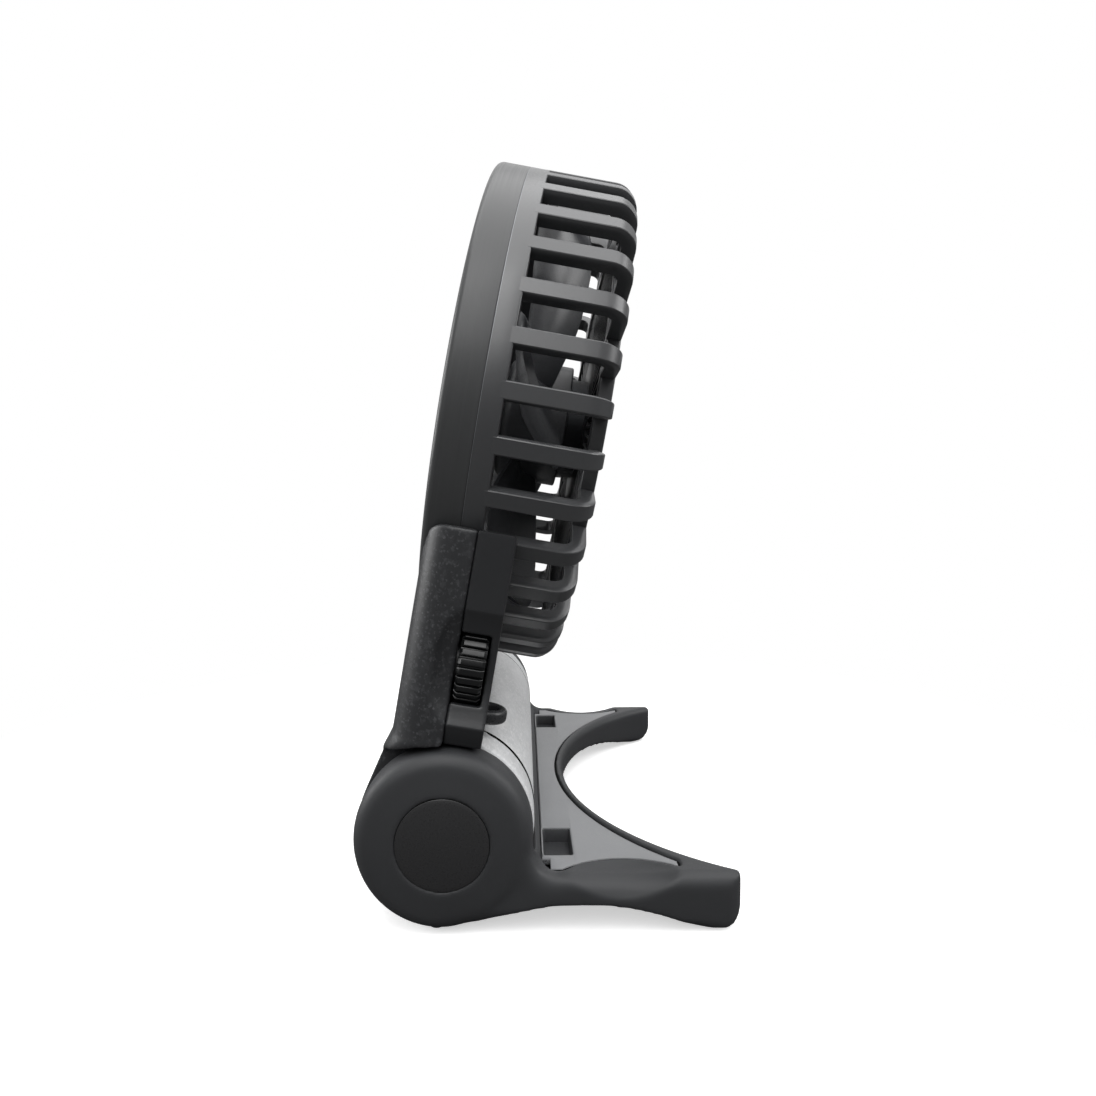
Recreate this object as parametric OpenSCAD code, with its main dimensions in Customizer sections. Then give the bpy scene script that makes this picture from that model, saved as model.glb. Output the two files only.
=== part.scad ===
// Folding fan with a round cage, a crescent body, a hinged crescent stand and a thumb dial.
// X runs across the fan, -Y is its front and +Z is up. The origin lies on the table, under
// the middle of the whole fan. Head pieces are drawn upright about the hinge, then tilted.

/* [Ring and cage] */
// Outer radius of the round fan ring
ring_r = 58; // [54:0.5:62]
// Front rim of the bezel, forward of the hinge plane
rim_front = 14.15; // [13.5:0.05:15]
// Seam between bezel and cage, forward of the hinge plane
bezel_seam = 6.7; // [5.5:0.1:8]
// Front end of the side slots, forward of the hinge plane
slot_front = 2.55; // [1:0.05:4]
// Rear face of the cage, behind the hinge plane
cage_rear = 17.6; // [17:0.1:20]
// Thickness of the cage wall and its ribs
cage_wall = 3; // [2:0.1:4]
// Radius of the cage's rear corner
cage_corner = 5; // [3.5:0.1:6]
// Number of side slots
slot_count = 36; // [24:1:40]
// Width of one side slot
slot_w = 6.1; // [4:0.1:6.4]
// Inner radius of the cage's rear ring
rear_ring_ri = 43.5; // [40:0.5:46]
// Width of the cage's rear ring
rear_ring_w = 3; // [2:0.1:4]
// Number of thin fins in the rear grille
fin_count = 72; // [48:1:80]
// Width of one rear fin
fin_w = 1; // [0.8:0.05:1.2]
// Thickness of the rear grille
rear_grille_t = 2.4; // [2:0.1:3]
// Radius of the closed hub plate in the rear grille
rear_hub_r = 21; // [18:0.5:24]
// Wall of the bezel
bezel_wall = 2.2; // [1.6:0.1:2.6]
// Inner radius of the opening in the bezel's front lip
bezel_lip_in = 4.5; // [3.5:0.1:6]
// Thickness of the bezel's front lip
bezel_lip_t = 2.6; // [2:0.1:3]
// Number of ribs in the front grille
front_rib_count = 30; // [20:1:36]
// Width of one front rib
front_rib_w = 1.4; // [1:0.1:2]
// Thickness of the front grille
front_grille_t = 2.4; // [1.8:0.1:2.8]
// Radius of the grille's plain hub disc
grille_hub_r = 15.5; // [13:0.5:18]
// Radius of the ring that ties the front ribs together
tie_ring_r = 34; // [28:0.5:40]

/* [Impeller] */
// Number of blades
blade_count = 7; // [5:1:9]
// Gap between the blade tips and the cage
tip_gap = 3.5; // [2:0.1:6]
// Straight width of one blade, measured around the hub
blade_chord = 28; // [22:0.5:32]
// How far the middle of a blade bows forward
blade_sag = 2.4; // [1.5:0.1:3]
// How far one blade reaches along the axle
blade_rise = 13; // [9:0.5:14]
// Thickness of one blade
blade_t = 1.5; // [1.2:0.1:2]
// Outer radius of the hub
hub_r = 15; // [14.6:0.1:17]
// Wall of the hub cup
hub_wall = 1.5; // [1.2:0.1:1.6]
// Front face of the hub, forward of the hinge plane
hub_front = 4.5; // [3.5:0.1:6]
// Depth of the hub cup
hub_depth = 15.5; // [14:0.5:16]

/* [Motor] */
// Outer radius of the motor can
can_r = 12.2; // [11:0.1:12.6]
// Length of the motor can
can_l = 11.6; // [11:0.1:12.4]
// Wall of the motor can
can_wall = 1; // [0.8:0.1:1.3]
// Radius of the motor shaft
shaft_r = 1; // [0.8:0.1:1.2]
// Outer radius of a motor bearing
bearing_r = 3; // [2.5:0.1:3.4]
// Width of a motor bearing
bearing_w = 2.3; // [2:0.1:2.4]
// Radius of the rotor core
rotor_r = 8.8; // [8:0.1:9]
// Thickness of the magnets
magnet_t = 1.7; // [1:0.1:1.8]

/* [Body] */
// How far the body's sides stand inside the ring's sides
body_inset = 2.8; // [2:0.1:3.5]
// Front face of the body, forward of the hinge plane
body_front = 13.5; // [13:0.1:14]
// Rear face of the body, behind the hinge plane
body_rear = 4.1; // [3.8:0.1:4.6]
// Seam between front and rear shell, forward of the hinge plane
body_seam = 3.25; // [3:0.05:3.6]
// Top of the body's horns above the hinge
horn_top = 58.5; // [54:0.5:62]
// Height of the body's neck between drum and ring
neck_h = 9; // [8.6:0.1:11]
// Wall of the body shells
shell_wall = 2; // [1.6:0.1:2.2]
// Rounding of the body's front side edges
front_edge_r = 7; // [4:0.5:8]
// Rounding of the body's front top edge
front_top_r = 4; // [2:0.5:5]
// Slack between the ring and the body that holds it
ring_gap = 0.25; // [0.1:0.05:0.4]
// Radius of the drum at the foot of the body
drum_r = 17.3; // [17:0.1:17.5]
// Radius of the arc that the front shell's foot makes over each knuckle
foot_arc_r = 22; // [19:0.5:26]
// Half width of the drum's rear cover
cover_hw = 39.4; // [37:0.1:42]
// Slack round the drum's rear cover
cover_gap = 0.1; // [0.05:0.05:0.2]

/* [Thumb dial] */
// Radius of the dial over its ridges
dial_r = 8.2; // [7.6:0.1:8.6]
// Width of the dial along its axle
dial_w = 4.9; // [4:0.1:5]
// Height of the dial's centre above the hinge
dial_up = 32.3; // [31.8:0.1:33.6]
// How far the dial stands out of the body's side
dial_proud = 0.4; // [0:0.1:0.8]
// Number of ridges round the dial
ridge_count = 28; // [20:1:34]
// Depth of the grooves between the ridges
ridge_depth = 0.6; // [0.4:0.1:0.8]
// Radius of the dial's axle
axle_r = 1.2; // [1:0.1:1.4]
// Height of the window that the dial shows through
window_h = 13.6; // [13:0.1:14.2]
// Rear edge of that window, behind the hinge plane
window_back = 2.6; // [2.4:0.1:2.8]
// Half height of the finger trough on the body's side
dish_hh = 10.9; // [10:0.1:11]
// Depth of the finger trough along the rear shell
dish_depth = 2.6; // [2:0.1:2.8]
// How far the trough's rounded end runs into the front shell
dish_front = 4.7; // [3.5:0.1:6]

/* [Strap eye] */
// Distance of the strap eye from the body's side
eye_inset = 14.7; // [14.2:0.1:15.2]
// Height of the strap eye's middle above the hinge
eye_up = 20.9; // [20.8:0.1:21.4]
// Outer radius of the strap eye
eye_r = 4.1; // [3.6:0.1:4.2]
// Radius of the hole in the strap eye
eye_hole_r = 2.3; // [1.8:0.1:2.5]
// Thickness of the strap eye
eye_t = 2.8; // [2.4:0.1:3]

/* [Stand] */
// How far the stand's knuckles stand out past the body's sides
knuckle_proud = 2.1; // [1.2:0.1:3]
// Radius of the knuckles
knuckle_r = 17; // [16.5:0.1:17.2]
// Width of one knuckle
knuckle_w = 8.5; // [8:0.1:9.5]
// Rounding of a knuckle's outer edge
knuckle_round = 3.2; // [2:0.1:4]
// Height of the small feet under the knuckles
foot_h = 0.7; // [0.5:0.1:1]
// Radius of the small feet
foot_r = 1.45; // [1.2:0.05:1.8]
// How deep the feet are let into the knuckles
foot_peg = 1.2; // [0.8:0.1:1.6]
// Reach of the legs behind the hinge
leg_reach = 56.5; // [54:0.5:60]
// Height of the legs
leg_top = 10.9; // [10.4:0.1:11.1]
// How far the legs stand inside the knuckles' faces
leg_inset = 1; // [0.5:0.1:1.6]
// Height of the arch under the legs
arch_h = 5.4; // [5:0.1:5.6]
// Radius of the arch under the legs
arch_r = 52; // [48:1:56]
// Place of the arch's top behind the hinge
arch_y = 26; // [24:0.5:27]
// Rounding of the legs' lower rear corner
heel_r = 5; // [3:0.5:5]
// Rounding of the legs' upper rear corner
toe_r = 1.3; // [0.8:0.1:2]
// Slack between the folded ring and the crescent at its middle
nest_gap = 0.9; // [0.7:0.1:1.2]
// How much wider than the ring the crescent is
nest_extra = 2.5; // [2.3:0.1:3.5]
// Thickness of the stand's floor under its cover plate
tray_t = 1.5; // [1.2:0.1:1.7]

/* [Stand cover plate] */
// Thickness of the cover plate
plate_t = 1.5; // [1.2:0.1:1.6]
// How far the plate lies below the legs' top
plate_sunk = 0.3; // [0.1:0.05:0.4]
// Front edge of the plate behind the hinge
plate_front = 18.7; // [18.5:0.1:19]
// Width of the rim between the plate and the crescent, at the middle
rim_w = 1.9; // [1.6:0.1:2.2]
// Radius of the plate's crescent edge
plate_arc_r = 67; // [64:0.5:70]
// Rear end of the plate's two arms behind the hinge
plate_tip = 45.4; // [42:0.1:47]
// Slack round the plate
plate_gap = 0.15; // [0.1:0.05:0.25]
// Half width of one pocket in the plate
pocket_hw = 6.1; // [5.4:0.1:6.5]
// Front edge of the pockets behind the hinge
pocket_front = 19.1; // [19:0.05:19.2]
// Length of the pockets
pocket_l = 5.9; // [5:0.1:6.2]
// Depth of the pockets
pocket_depth = 3; // [2.6:0.1:3.1]
// Distance of the front stand screws from the plate's front edge
screw_front = 4.9; // [4:0.1:6]
// Distance of the front stand screws from the pockets
screw_aside = 6.4; // [5:0.1:8]
// Distance of the rear stand screws from the plate's front edge
screw_reach = 14.3; // [12:0.1:15]
// Width of the ledge that the plate rests on
ledge_w = 1.6; // [1.2:0.1:2]
// Radius of the screw bosses under the plate
boss_r = 2.1; // [1.8:0.1:2.3]

/* [Hinge] */
// How far the head leans back from upright
tilt = 10; // [0:0.5:20]
// Gap between the drum's ends and the knuckles
side_gap = 0.3; // [0.2:0.05:0.5]
// Radius of the hinge pins
pin_r = 3; // [2.5:0.1:3.5]
// Radius of the hinge pins' heads
pin_head_r = 5.5; // [5:0.1:6]
// Thickness of the hinge pins' heads
pin_head_t = 1.5; // [1.2:0.1:1.8]
// Radius of the round caps over the hinge pins
cap_r = 8.7; // [8:0.1:9.5]
// Thickness of the caps
cap_t = 1.4; // [1.2:0.1:1.8]
// Thickness of the walls at the drum's ends
end_wall = 2.5; // [2:0.1:3]
// Radius of the friction washers
washer_r = 7; // [6:0.1:8]
// Thickness of the friction washers
washer_t = 0.9; // [0.7:0.1:1.2]

/* [Battery and boards] */
// Radius of the battery cell
cell_r = 9.2; // [9:0.1:9.4]
// Length of the battery cell
cell_l = 65; // [63:0.5:70]
// Thickness of the circuit boards
board_t = 1.2; // [0.8:0.1:1.6]
// Slack between the boards and the body's walls
board_gap = 0.4; // [0.3:0.1:1]
// Distance from the fan's middle to the control board
board_in = 24; // [22:0.5:26]
// Height of the control board above the dial's centre
board_over = 9.4; // [8:0.1:10]
// Width of the charging board
charge_w = 11.6; // [10:0.1:13]
// Height of the charging board
charge_h = 14.7; // [13:0.1:16]
// Distance of the boards' posts from the boards' edges
post_inset = 3.3; // [2.5:0.1:4]
// Radius of the dial's switch
switch_r = 4.4; // [3.6:0.1:5]
// Height of the dial's switch over its board
switch_h = 2.8; // [2.4:0.1:3.2]
// Width of the battery contacts
contact_w = 9; // [7:0.5:11]
// Height of the battery contacts
contact_h = 11; // [9:0.5:12]
// Width of the charging socket's mouth
socket_w = 9; // [8.4:0.1:9.6]
// Height of the charging socket's mouth
socket_h = 3.2; // [2.8:0.1:3.4]
// Depth of the charging socket
socket_l = 7.4; // [6.5:0.1:8]
// Height of the charging socket's middle above the hinge
socket_up = 30; // [29:0.5:32]

/* [Fasteners] */
// Radius of the screws' shanks
screw_r = 0.9; // [0.7:0.05:1]
// Radius of the screws' heads
screw_head_r = 1.8; // [1.5:0.1:2]
// Thickness of the screws' heads
screw_head_t = 1; // [0.8:0.1:1.2]
// Running slack between a shaft and its bore
run_gap = 0.04; // [0.02:0.01:0.08]
// Slack between a screw and its hole
screw_gap = 0.05; // [0.02:0.01:0.1]

/* [Hidden] */
$fn = 96;
eps = 0.01;
ring_up = drum_r + neck_h + ring_r;
body_hw = ring_r - body_inset;
stand_hw = body_hw + knuckle_proud;
drum_hl = stand_hw - knuckle_w - side_gap;
leg_hw = stand_hw - leg_inset;
pivot_z = knuckle_r + foot_h;
pivot_y = (drum_r - leg_reach) / 2;
seat_r = ring_r + ring_gap;
wall_r = seat_r + shell_wall;
body_foot = drum_r + 0.3;
side_wall = dish_depth + 0.6;
post_r = 2.2;
eye_x = body_hw - eye_inset;
drum_ri = drum_r - shell_wall;
drum_clear = 0.7;
grille_back = rim_front - bezel_lip_t - front_grille_t;
grille_r = ring_r - bezel_wall - 0.1;
lip_r = ring_r - bezel_lip_in;
motor_back = -cage_rear + rear_grille_t;
can_front = motor_back + can_l;
boss_l = 1.2;
motor_screw_at = 7.5;
blade_mid = -3.5;
blade_r = ring_r - cage_wall - tip_gap;
dial_x = body_hw + dial_proud - dial_r;
dial_y0 = -body_seam + 0.35;
nest_r = ring_r + nest_extra;
nest_y = ring_up - ring_r - nest_gap + nest_r;
plate_z = leg_top - plate_sunk;
plate_arc_y = nest_y - nest_r - rim_w + plate_arc_r;
bow_r = 18.3;
bow_x = stand_hw + 9.3;
bow_y = (plate_front + plate_tip) / 2 + 2.1;
plate_hw = stand_hw - 4.9;
screw_low = [drum_hl - 0.5, drum_r + 3.7];
screw_high = [body_hw - 3, 49];
// The screw posts start where the rounded front corner is wide enough to hold them
post_side = front_edge_r - body_hw + screw_high[0] + post_r;
post_front = front_edge_r - body_front
    - sqrt(max(0, pow(front_edge_r - 0.1, 2) - pow(post_side, 2)));
screw_y = plate_front + screw_reach;
tray_arc_x = sqrt(pow(plate_arc_r + ledge_w, 2) - pow(plate_arc_y - screw_y, 2));
tray_bow_x = bow_x - sqrt(pow(bow_r + ledge_w, 2) - pow(screw_y - bow_y, 2));
stand_screws_at = [[eye_x - pocket_hw - screw_aside, plate_front + screw_front],
    [(tray_arc_x + tray_bow_x) / 2, screw_y]];
board_back = dial_y0 - 0.2 - switch_h;
charge_back = -body_seam - board_gap;
pin_in = drum_hl - end_wall;
board_low = drum_r + shell_wall + board_gap;
board_hw = body_hw - side_wall - board_gap;
board_ring = wall_r + 2.6;
board_posts = [[board_in + 3 * post_inset, board_low + post_inset],
    [board_hw - post_inset / 2, dial_up - post_inset]];
charge_low = socket_up - socket_w / 2 - post_inset / 2;
charge_posts = [[charge_w - board_hw - post_inset, charge_low + post_inset],
    [-board_hw + post_inset / 2, charge_low + charge_h - post_inset / 2]];

// Placing. Stand pieces are drawn from the table under the hinge.
module on_stand() { translate([0, pivot_y, 0]) children(); }
// Head pieces are drawn from the hinge axis with the head upright.
module on_head() { translate([0, pivot_y, pivot_z]) rotate([-tilt, 0, 0]) children(); }
// Ring pieces are drawn about the ring's axis, with z forward and y up.
module on_ring() { on_head() translate([0, 0, ring_up]) rotate([90, 0, 0]) children(); }
// A flat outline given in y and z becomes a slab across the fan.
module across(w, x0 = undef) {
    start = is_undef(x0) ? -w / 2 : x0;
    translate([start, 0, 0]) rotate([90, 0, 90]) linear_extrude(w) children();
}
// A round bar along X.
module bar(r, x0, x1) { translate([x0, 0, 0]) rotate([0, 90, 0]) cylinder(h = x1 - x0, r = r); }
// A round bar along Y, from y0 back to y1, at a place given in x and z.
module rod(r, at, y0, y1) {
    translate([at[0], y1, at[1]]) rotate([90, 0, 0]) cylinder(h = y1 - y0, r = r);
}
module both_sides() {
    children();
    mirror([1, 0, 0]) children();
}
function arc(cx, cy, r, a0, a1, n) =
    [for (i = [0:n]) [cx + r * cos(a0 + (a1 - a0) * i / n), cy + r * sin(a0 + (a1 - a0) * i / n)]];

// Stand
module leg_side() {
    leg_start = 6;
    fillet_r = 4;
    fillet_z = leg_top + fillet_r;
    fillet_y = sqrt(pow(knuckle_r + fillet_r, 2) - pow(pivot_z - fillet_z, 2));
    difference() {
        union() {
            translate([leg_start, 0]) square([leg_reach - leg_start - heel_r, leg_top]);
            translate([leg_start, heel_r]) square([leg_reach - leg_start, leg_top - heel_r - toe_r]);
            translate([leg_start, heel_r]) square([leg_reach - leg_start - toe_r, leg_top - heel_r]);
            translate([leg_reach - heel_r, heel_r]) circle(heel_r);
            translate([leg_reach - toe_r, leg_top - toe_r]) circle(toe_r);
            difference() {
                translate([leg_start, heel_r]) square([fillet_y - leg_start - 0.3, fillet_z - heel_r - 0.6]);
                translate([fillet_y, fillet_z]) circle(fillet_r);
            }
        }
        translate([arch_y, arch_h - arch_r]) circle(arch_r);
    }
}
module stand_plan() {
    corner_r = 3;
    corner_y = leg_reach - corner_r + 0.1;
    difference() {
        union() {
            translate([-leg_hw, 0]) square([2 * leg_hw, corner_y]);
            translate([corner_r - leg_hw, 0]) square([2 * (leg_hw - corner_r), leg_reach + 1]);
            for (s = [-1, 1]) translate([s * (leg_hw - corner_r), corner_y]) circle(corner_r);
        }
        translate([0, nest_y]) circle(nest_r);
    }
}
module knuckle() {
    top = knuckle_w;
    translate([drum_hl + side_gap, 0, pivot_z]) rotate([0, 90, 0])
        rotate_extrude() polygon(concat(
            [[0, 0], [knuckle_r, 0]],
            arc(knuckle_r - knuckle_round, top - 0.4 - knuckle_round, knuckle_round, 0, 80, 8),
            [[cap_r + 1, top], [0, top]]));
}
module plate_outline(inset) {
    difference() {
        translate([inset - plate_hw, plate_front + inset])
            square([2 * (plate_hw - inset), plate_tip - plate_front - 2 * inset]);
        translate([0, plate_arc_y]) circle(plate_arc_r + inset);
        for (s = [-1, 1]) translate([s * bow_x, bow_y]) circle(bow_r + inset);
        for (s = [-1, 1]) translate([s * (plate_hw - 1), plate_front]) circle(1.6 + inset, $fn = 4);
    }
}
module foot_place() { translate([stand_hw - knuckle_w / 2 - 1, -1.5, 0]) children(); }
module pocket_well(gap) {
    translate([-pocket_hw - 1 - gap, plate_front - gap, plate_z - pocket_depth - 0.6 - gap])
        cube([2 * (pocket_hw + 1 + gap), pocket_front + pocket_l + 1 - plate_front + 2 * gap,
            pocket_depth - plate_t + 0.7 + 2 * gap]);
}
module stand_frame() color("#333436") on_stand() difference() {
    union() {
        intersection() {
            across(2 * leg_hw) leg_side();
            linear_extrude(pivot_z) stand_plan();
        }
        both_sides() knuckle();
    }
    translate([0, 0, pivot_z]) bar(drum_r + drum_clear, -drum_hl - side_gap, drum_hl + side_gap);
    translate([0, 0, plate_z - plate_t]) linear_extrude(pivot_z) plate_outline(-plate_gap);
    difference() {
        linear_extrude(plate_z) plate_outline(ledge_w);
        translate([0, arch_y, arch_h - arch_r])
            bar(arch_r + tray_t, -stand_hw, stand_hw);
    }
    for (s = [-1, 1]) translate([s * eye_x, 0, 0]) pocket_well(plate_gap);
    both_sides() translate([0, 0, pivot_z]) {
        bar(pin_r, drum_hl, stand_hw + 1);
        bar(pin_head_r + 0.1, stand_hw - cap_t - 0.1 - pin_head_t, stand_hw + 1);
        bar(cap_r + 0.1, stand_hw - cap_t, stand_hw + 1);
    }
    both_sides() for (p = stand_screws_at)
        translate([p[0], p[1], 0]) cylinder(h = plate_z, r = screw_r + screw_gap);
    both_sides() foot_place() cylinder(h = foot_h + foot_peg, r = foot_r + 0.05);
}
module stand_cover_plate() color("#9fa0a2") on_stand() difference() {
    union() {
        translate([0, 0, plate_z - plate_t]) linear_extrude(plate_t) plate_outline(0);
        for (s = [-1, 1]) translate([s * eye_x, 0, 0]) pocket_well(0);
        both_sides() for (p = stand_screws_at)
            translate([p[0], p[1], arch_h + tray_t + 0.05])
                cylinder(h = plate_z - plate_t - arch_h - tray_t, r = boss_r);
    }
    for (s = [-1, 1]) translate([s * eye_x - pocket_hw, pocket_front, plate_z - pocket_depth])
        cube([2 * pocket_hw, pocket_l, pocket_depth + 1]);
    both_sides() for (p = stand_screws_at)
        translate([p[0], p[1], 0]) cylinder(h = plate_z - 0.6, r = screw_r);
    translate([0, 0, pivot_z]) bar(drum_r + drum_clear, -stand_hw, stand_hw);
}
module stand_feet() color("#1d1d1e") on_stand()
    both_sides() foot_place() cylinder(h = foot_h + foot_peg, r = foot_r);
module stand_screws() color("#8d8f92") on_stand()
    both_sides() for (p = stand_screws_at) translate([p[0], p[1], 0]) {
        floor_z = arch_h - arch_r + sqrt(pow(arch_r, 2) - pow(abs(p[1] - arch_y) + screw_head_r, 2));
        translate([0, 0, floor_z - screw_head_t]) cylinder(h = screw_head_t, r = screw_head_r);
        translate([0, 0, floor_z - eps]) cylinder(h = plate_z - 0.8 - floor_z, r = screw_r);
    }
module pivot_cap() {
    on_stand() translate([0, 0, pivot_z]) bar(cap_r, stand_hw - cap_t, stand_hw);
}
module pivot_cap_right() color("#2c2d2e") pivot_cap();
module pivot_cap_left() color("#2c2d2e") mirror([1, 0, 0]) pivot_cap();
module hinge_pins() color("#a4a6a8") on_stand() both_sides() translate([0, 0, pivot_z]) {
    bar(pin_r, pin_in - 2.4, stand_hw - cap_t - 0.1 - pin_head_t + eps);
    bar(pin_head_r, stand_hw - cap_t - 0.1 - pin_head_t, stand_hw - cap_t - 0.1);
}
module hinge_clips() color("#a4a6a8") on_stand() both_sides() translate([0, 0, pivot_z])
    difference() {
        bar(pin_r + 2, pin_in - 1.6, pin_in - 0.3);
        bar(pin_r, pin_in - 2, pin_in);
    }
module friction_washers() color("#c9c4b4") on_stand() both_sides() translate([0, 0, pivot_z])
    difference() {
        bar(washer_r, drum_hl + side_gap - washer_t, drum_hl + side_gap);
        bar(pin_r + 0.1, drum_hl - 1, drum_hl + 1);
    }

// Body
module ring_space(r) {
    translate([0, 0, ring_up]) rotate([90, 0, 0]) cylinder(h = 80, r = r, center = true);
}
// The finger trough is straight in the rear shell and ends in a barrel in the front shell
trough_r = (pow(dish_hh, 2) + pow(dish_depth, 2)) / (2 * dish_depth);
trough_up = dial_up + 0.5;
module trough_run()
    rod(trough_r, [body_hw - dish_depth + trough_r, trough_up], -body_seam - 1, body_rear + 1);
module trough_end() {
    end_r = (pow(dish_front, 2) + pow(dish_depth, 2)) / (2 * dish_depth);
    translate([body_hw - dish_depth + end_r, -body_seam, trough_up]) rotate_extrude() intersection() {
        translate([end_r - trough_r, 0]) circle(trough_r);
        translate([0, -dish_hh - 4]) square(2 * dish_hh + 8);
    }
}
module screw_places() {
    both_sides() translate([screw_low[0], 0, screw_low[1]]) children();
    both_sides() translate([screw_high[0], 0, screw_high[1]]) children();
}
module front_block() {
    intersection() {
        across(2 * body_hw) difference() {
            union() {
                translate([-body_front, 0]) square([body_front - body_seam, horn_top - front_top_r]);
                translate([front_top_r - body_front, 0])
                    square([body_front - body_seam - front_top_r, horn_top]);
                translate([front_top_r - body_front, horn_top - front_top_r]) circle(front_top_r);
            }
            translate([0, body_foot - foot_arc_r]) circle(foot_arc_r);
        }
        linear_extrude(horn_top) union() {
            translate([-body_hw, front_edge_r - body_front]) square([2 * body_hw, body_front - front_edge_r]);
            translate([front_edge_r - body_hw, -body_front])
                square([2 * (body_hw - front_edge_r), body_front]);
            for (s = [-1, 1])
                translate([s * (body_hw - front_edge_r), front_edge_r - body_front]) circle(front_edge_r);
        }
    }
}
module flare() {
    lean = atan2(body_front, body_foot) + acos(drum_r / norm([body_front, body_foot]));
    across(2 * drum_hl) polygon([
        [-body_seam, 0], [-drum_r * sin(lean), drum_r * cos(lean)], [-body_front, body_foot],
        [-body_seam, body_foot]]);
}
module cover_space(gap) {
    translate([-cover_hw - gap, body_rear - gap, -drum_r - 1])
        cube([2 * (cover_hw + gap), drum_r + 2, 2 * drum_r + 2]);
}
module front_body_shell() color("#6b6b6d") on_head() difference() {
    union() {
        difference() {
            union() {
                front_block();
                flare();
                bar(drum_r, -drum_hl, drum_hl);
            }
            bar(drum_ri, -drum_hl + end_wall, drum_hl - end_wall);
            intersection() {
                translate([-body_hw + side_wall, -body_front + shell_wall, drum_r + shell_wall])
                    cube([2 * (body_hw - side_wall), body_front, horn_top - drum_r - 2 * shell_wall]);
                difference() {
                    translate([0, 0, ring_up / 2]) cube([300, 300, ring_up], center = true);
                    ring_space(wall_r);
                }
            }
            cover_space(cover_gap);
            translate([14, -9, drum_ri - 1]) cube([8, 5, 6]);
        }
        screw_places() rod(post_r, [0, 0], post_front, -body_seam);
        for (p = board_posts) rod(2, p, -body_front + 1, board_back - board_t);
        for (p = charge_posts) rod(1.6, p, -body_front + 1, charge_back - board_t);
    }
    ring_space(seat_r);
    trough_end();
    screw_places() rod(screw_r, [0, 0], post_front + 0.5, 0);
    both_sides() {
        bar(pin_r + run_gap, drum_hl - end_wall - 1, drum_hl + 1);
        bar(washer_r + 0.1, drum_hl + side_gap - washer_t - 0.05, drum_hl + 1);
    }
    translate([-body_hw - 1, charge_back - board_t - socket_h - 0.1, socket_up - socket_w / 2 - 0.1])
        cube([socket_l + 0.6, socket_h + 0.2, socket_w + 0.2]);
}
module rear_body_shell() color("#2f3032") on_head() difference() {
    union() {
        difference() {
            union() {
                translate([-body_hw, -body_seam, body_foot])
                    cube([2 * body_hw, body_seam + body_rear, horn_top - body_foot]);
                translate([-drum_hl, -body_seam, drum_r - 2]) cube([2 * drum_hl, body_seam + body_rear, 3]);
            }
            intersection() {
                translate([-body_hw + side_wall, -body_seam - 1, drum_r + shell_wall])
                    cube([2 * (body_hw - side_wall), body_seam + body_rear - 0.8,
                        horn_top - drum_r - 2 * shell_wall]);
                difference() {
                    translate([0, 0, ring_up / 2]) cube([300, 300, ring_up], center = true);
                    ring_space(wall_r);
                }
            }
            rod(dial_r + 0.2, [dial_x, dial_up], -body_seam - 1, window_back);
        }
        screw_places() rod(post_r, [0, 0], -body_seam, body_rear - eps);
        rod(3, [dial_x, dial_up], dial_y0 + dial_w + 0.2, body_rear - eps);
    }
    ring_space(seat_r);
    bar(drum_r + 0.05, -drum_hl - 1, drum_hl + 1);
    trough_run();
    translate([dial_x, -body_seam - 1, dial_up - window_h / 2])
        cube([20, body_seam + 1 + window_back, window_h]);
    rod(axle_r + run_gap, [dial_x, dial_up], -body_seam, body_rear - 0.8);
    screw_places() {
        rod(screw_r + screw_gap, [0, 0], -body_seam - 1, body_rear + 1);
        rod(screw_head_r + screw_gap, [0, 0], body_rear - screw_head_t - 0.2, body_rear + 1);
    }
    both_sides() translate([0, body_rear + 1, 0]) rotate([90, 0, 0])
        linear_extrude(body_rear + body_seam + 2) polygon([
            [body_hw + 1, body_foot - 1], [body_hw - 1.8, body_foot - 1],
            [body_hw - 1.8, body_foot], [body_hw, body_foot + 4], [body_hw + 1, body_foot + 4]]);
}
module drum_rear_cover() color("#cfd0d1") on_head() intersection() {
    difference() {
        bar(drum_r, -cover_hw, cover_hw);
        bar(drum_ri, -cover_hw - 1, cover_hw + 1);
    }
    translate([-cover_hw, body_rear, -drum_r]) cube([2 * cover_hw, drum_r, 2 * drum_r]);
}
module strap_eye() color("#2a2b2c") on_head()
    translate([eye_x, body_rear, eye_up - eye_t / 2]) linear_extrude(eye_t) difference() {
        circle(eye_r);
        circle(eye_hole_r);
        translate([-eye_r - 1, -2 * eye_r]) square([2 * eye_r + 2, 2 * eye_r]);
    }
module body_screws() color("#8d8f92") on_head() screw_places() {
    rod(screw_head_r, [0, 0], body_rear - screw_head_t - 0.2, body_rear - 0.2);
    rod(screw_r, [0, 0], post_front + 1, body_rear - screw_head_t);
}

// Ring
module front_bezel() color("#3a3b3d") on_ring() rotate_extrude($fn = 180) polygon(concat(
    [[ring_r - bezel_wall, bezel_seam], [ring_r, bezel_seam]],
    arc(ring_r - 1.4, rim_front - 1.4, 1.4, 0, 90, 6),
    [[lip_r + 0.5, rim_front], [lip_r, rim_front - 0.5], [lip_r, rim_front - bezel_lip_t],
     [ring_r - bezel_wall, rim_front - bezel_lip_t]]));
module front_grille() color("#303133") on_ring() translate([0, 0, grille_back]) {
    linear_extrude(front_grille_t) union() {
        difference() {
            circle(grille_r);
            circle(lip_r - 1.5);
        }
        difference() {
            circle(tie_ring_r + 0.8);
            circle(tie_ring_r - 0.8);
        }
        circle(grille_hub_r);
        for (i = [0:front_rib_count - 1]) rotate(i * 360 / front_rib_count)
            translate([grille_hub_r - 1, -front_rib_w / 2]) square([lip_r - grille_hub_r, front_rib_w]);
    }
}
module grille_hub_disc() color("#3a3b3d") on_ring()
    translate([0, 0, grille_back + front_grille_t]) cylinder(h = 0.8, r = grille_hub_r - 1.5);
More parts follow.
